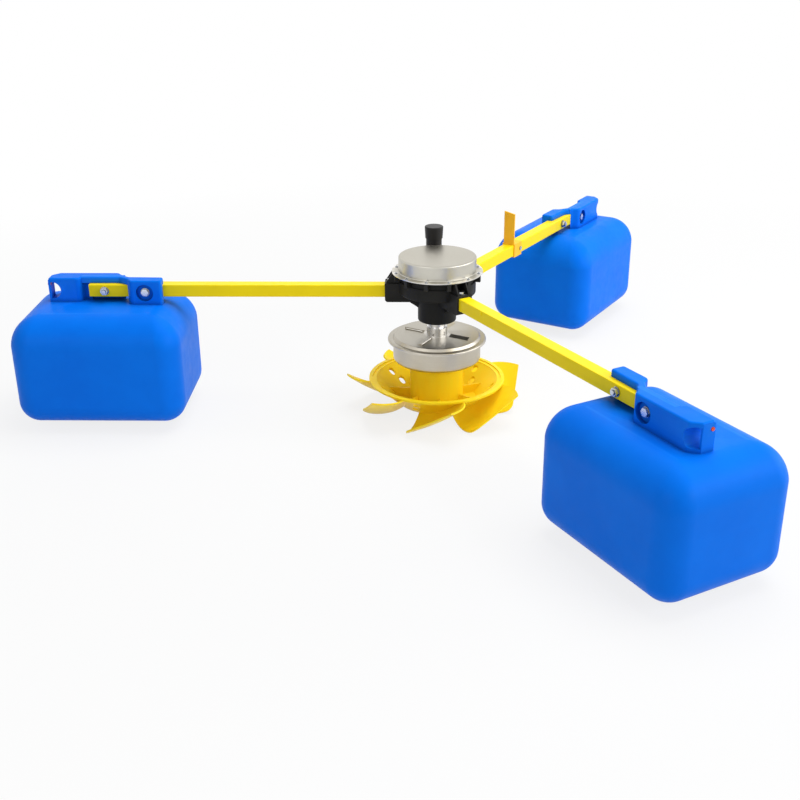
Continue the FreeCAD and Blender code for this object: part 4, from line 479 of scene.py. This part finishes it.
def make_floor():
    """White floor: plain white to the camera far off, and with the object's shadow near it."""
    low = cad_bounds[0][2]
    corners = [(-FLOOR_REACH, -FLOOR_REACH, low), (FLOOR_REACH, -FLOOR_REACH, low),
               (FLOOR_REACH, FLOOR_REACH, low), (-FLOOR_REACH, FLOOR_REACH, low)]
    mesh = bpy.data.meshes.new("floor")
    mesh.from_pydata(corners, [], [(0, 1, 2, 3)])
    floor = bpy.data.objects.new("floor", mesh)
    bpy.context.collection.objects.link(floor)
    g = Graph("floor_white")
    g.settings(Base_Color=(FLOOR_COLOUR, FLOOR_COLOUR, FLOOR_COLOUR, 1.0), Roughness=0.9,
               Specular_IOR_Level=0.0)
    glow = g.node("Emission", Color=(1.0, 1.0, 1.0, 1.0), Strength=1.0)
    away = g.node("VectorMath", g.place)
    away.operation = "LENGTH"
    share = g.ramp(away.outputs["Value"], FLOOR_NEAR, FLOOR_FAR, FLOOR_GLOW, 1.0)
    mixed = g.node("MixShader", seen_ray(g.tree, share), g.shader.outputs[0], glow.outputs[0])
    g.feed(g.tree.nodes["Material Output"], "Surface", mixed.outputs[0])
    mesh.materials.append(g.material)


def make_world():
    """Even pale fill, which the camera, metal and glass see as plain white."""
    world = bpy.data.worlds.new("studio")
    bpy.context.scene.world = world
    world.use_nodes = True
    tree = world.node_tree
    tree.nodes.clear()
    mix = tree.nodes.new("ShaderNodeMixShader")
    tree.links.new(seen_ray(tree), mix.inputs[0])
    for key, colour, strength in ((1, (0.97, 0.985, 1.0, 1.0), FILL_STRENGTH),
                                  (2, (1.0, 1.0, 1.0, 1.0), 1.0)):
        sky = tree.nodes.new("ShaderNodeBackground")
        sky.inputs["Color"].default_value = colour
        sky.inputs["Strength"].default_value = strength
        tree.links.new(sky.outputs[0], mix.inputs[key])
    out = tree.nodes.new("ShaderNodeOutputWorld")
    tree.links.new(mix.outputs[0], out.inputs["Surface"])


def area_light(name, place, target, size, power):
    """A rectangular lamp of a size in metres and a power in watts, aimed at a target."""
    data = bpy.data.lights.new(name, "AREA")
    data.shape = "RECTANGLE"
    data.size, data.size_y = size
    data.energy = power
    lamp = bpy.data.objects.new(name, data)
    lamp.location = place
    lamp.rotation_euler = (Vector(target) - Vector(place)).to_track_quat("-Z", "Y").to_euler()
    bpy.context.collection.objects.link(lamp)
    return lamp


def make_lights():
    """Softboxes above, on both sides in front, on the right and behind."""
    housing, drum = (0.0, 0.0, -0.1), (0.0, 0.0, -0.2)
    overhead = area_light("top_softbox", (0.9, 0.3, 3.4), drum, (3.4, 3.0), 134.0)
    # Metal shows the even white around it and not this lamp.
    overhead.visible_glossy = False
    area_light("right_front_softbox", (3.6, -2.4, 1.7), drum, (2.2, 2.0), 50.0)
    area_light("right_softbox", (4.2, 0.3, 1.1), drum, (2.4, 2.2), 55.0)
    area_light("left_front_softbox", (-2.6, -3.6, 1.5), drum, (2.4, 2.0), 24.0)
    area_light("rear_softbox", (0.0, 3.8, 2.2), housing, (3.4, 2.0), 12.0)


def make_camera():
    """Camera at the photo's place: 2.6 m in front of the axis and 0.8 m above the cover's top."""
    pitch, yaw, roll = [math.radians(turn) for turn in (CAMERA_PITCH, CAMERA_YAW, CAMERA_ROLL)]
    ahead = Vector((math.sin(yaw) * math.cos(pitch), math.cos(yaw) * math.cos(pitch),
                    -math.sin(pitch)))
    right = Vector((math.cos(yaw), -math.sin(yaw), 0.0))
    up = right.cross(ahead)
    rolled_right = right * math.cos(roll) + up * math.sin(roll)
    rolled_up = up * math.cos(roll) - right * math.sin(roll)
    data = bpy.data.cameras.new("camera")
    data.sensor_fit = "HORIZONTAL"
    data.sensor_width = CAMERA_SENSOR
    data.lens = CAMERA_LENS
    data.clip_end = 60.0
    camera = bpy.data.objects.new("camera", data)
    axes = Matrix((rolled_right, rolled_up, -ahead)).transposed().to_4x4()
    camera.matrix_world = Matrix.Translation(CAMERA_PLACE) @ axes
    bpy.context.collection.objects.link(camera)
    bpy.context.scene.camera = camera


for side_name in ARM_AZIMUTHS:
    make_saddle_lip(side_name)
make_louvre_webs()
make_floor()
make_world()
make_lights()
make_camera()
bpy.context.scene.view_settings.view_transform = "Standard"
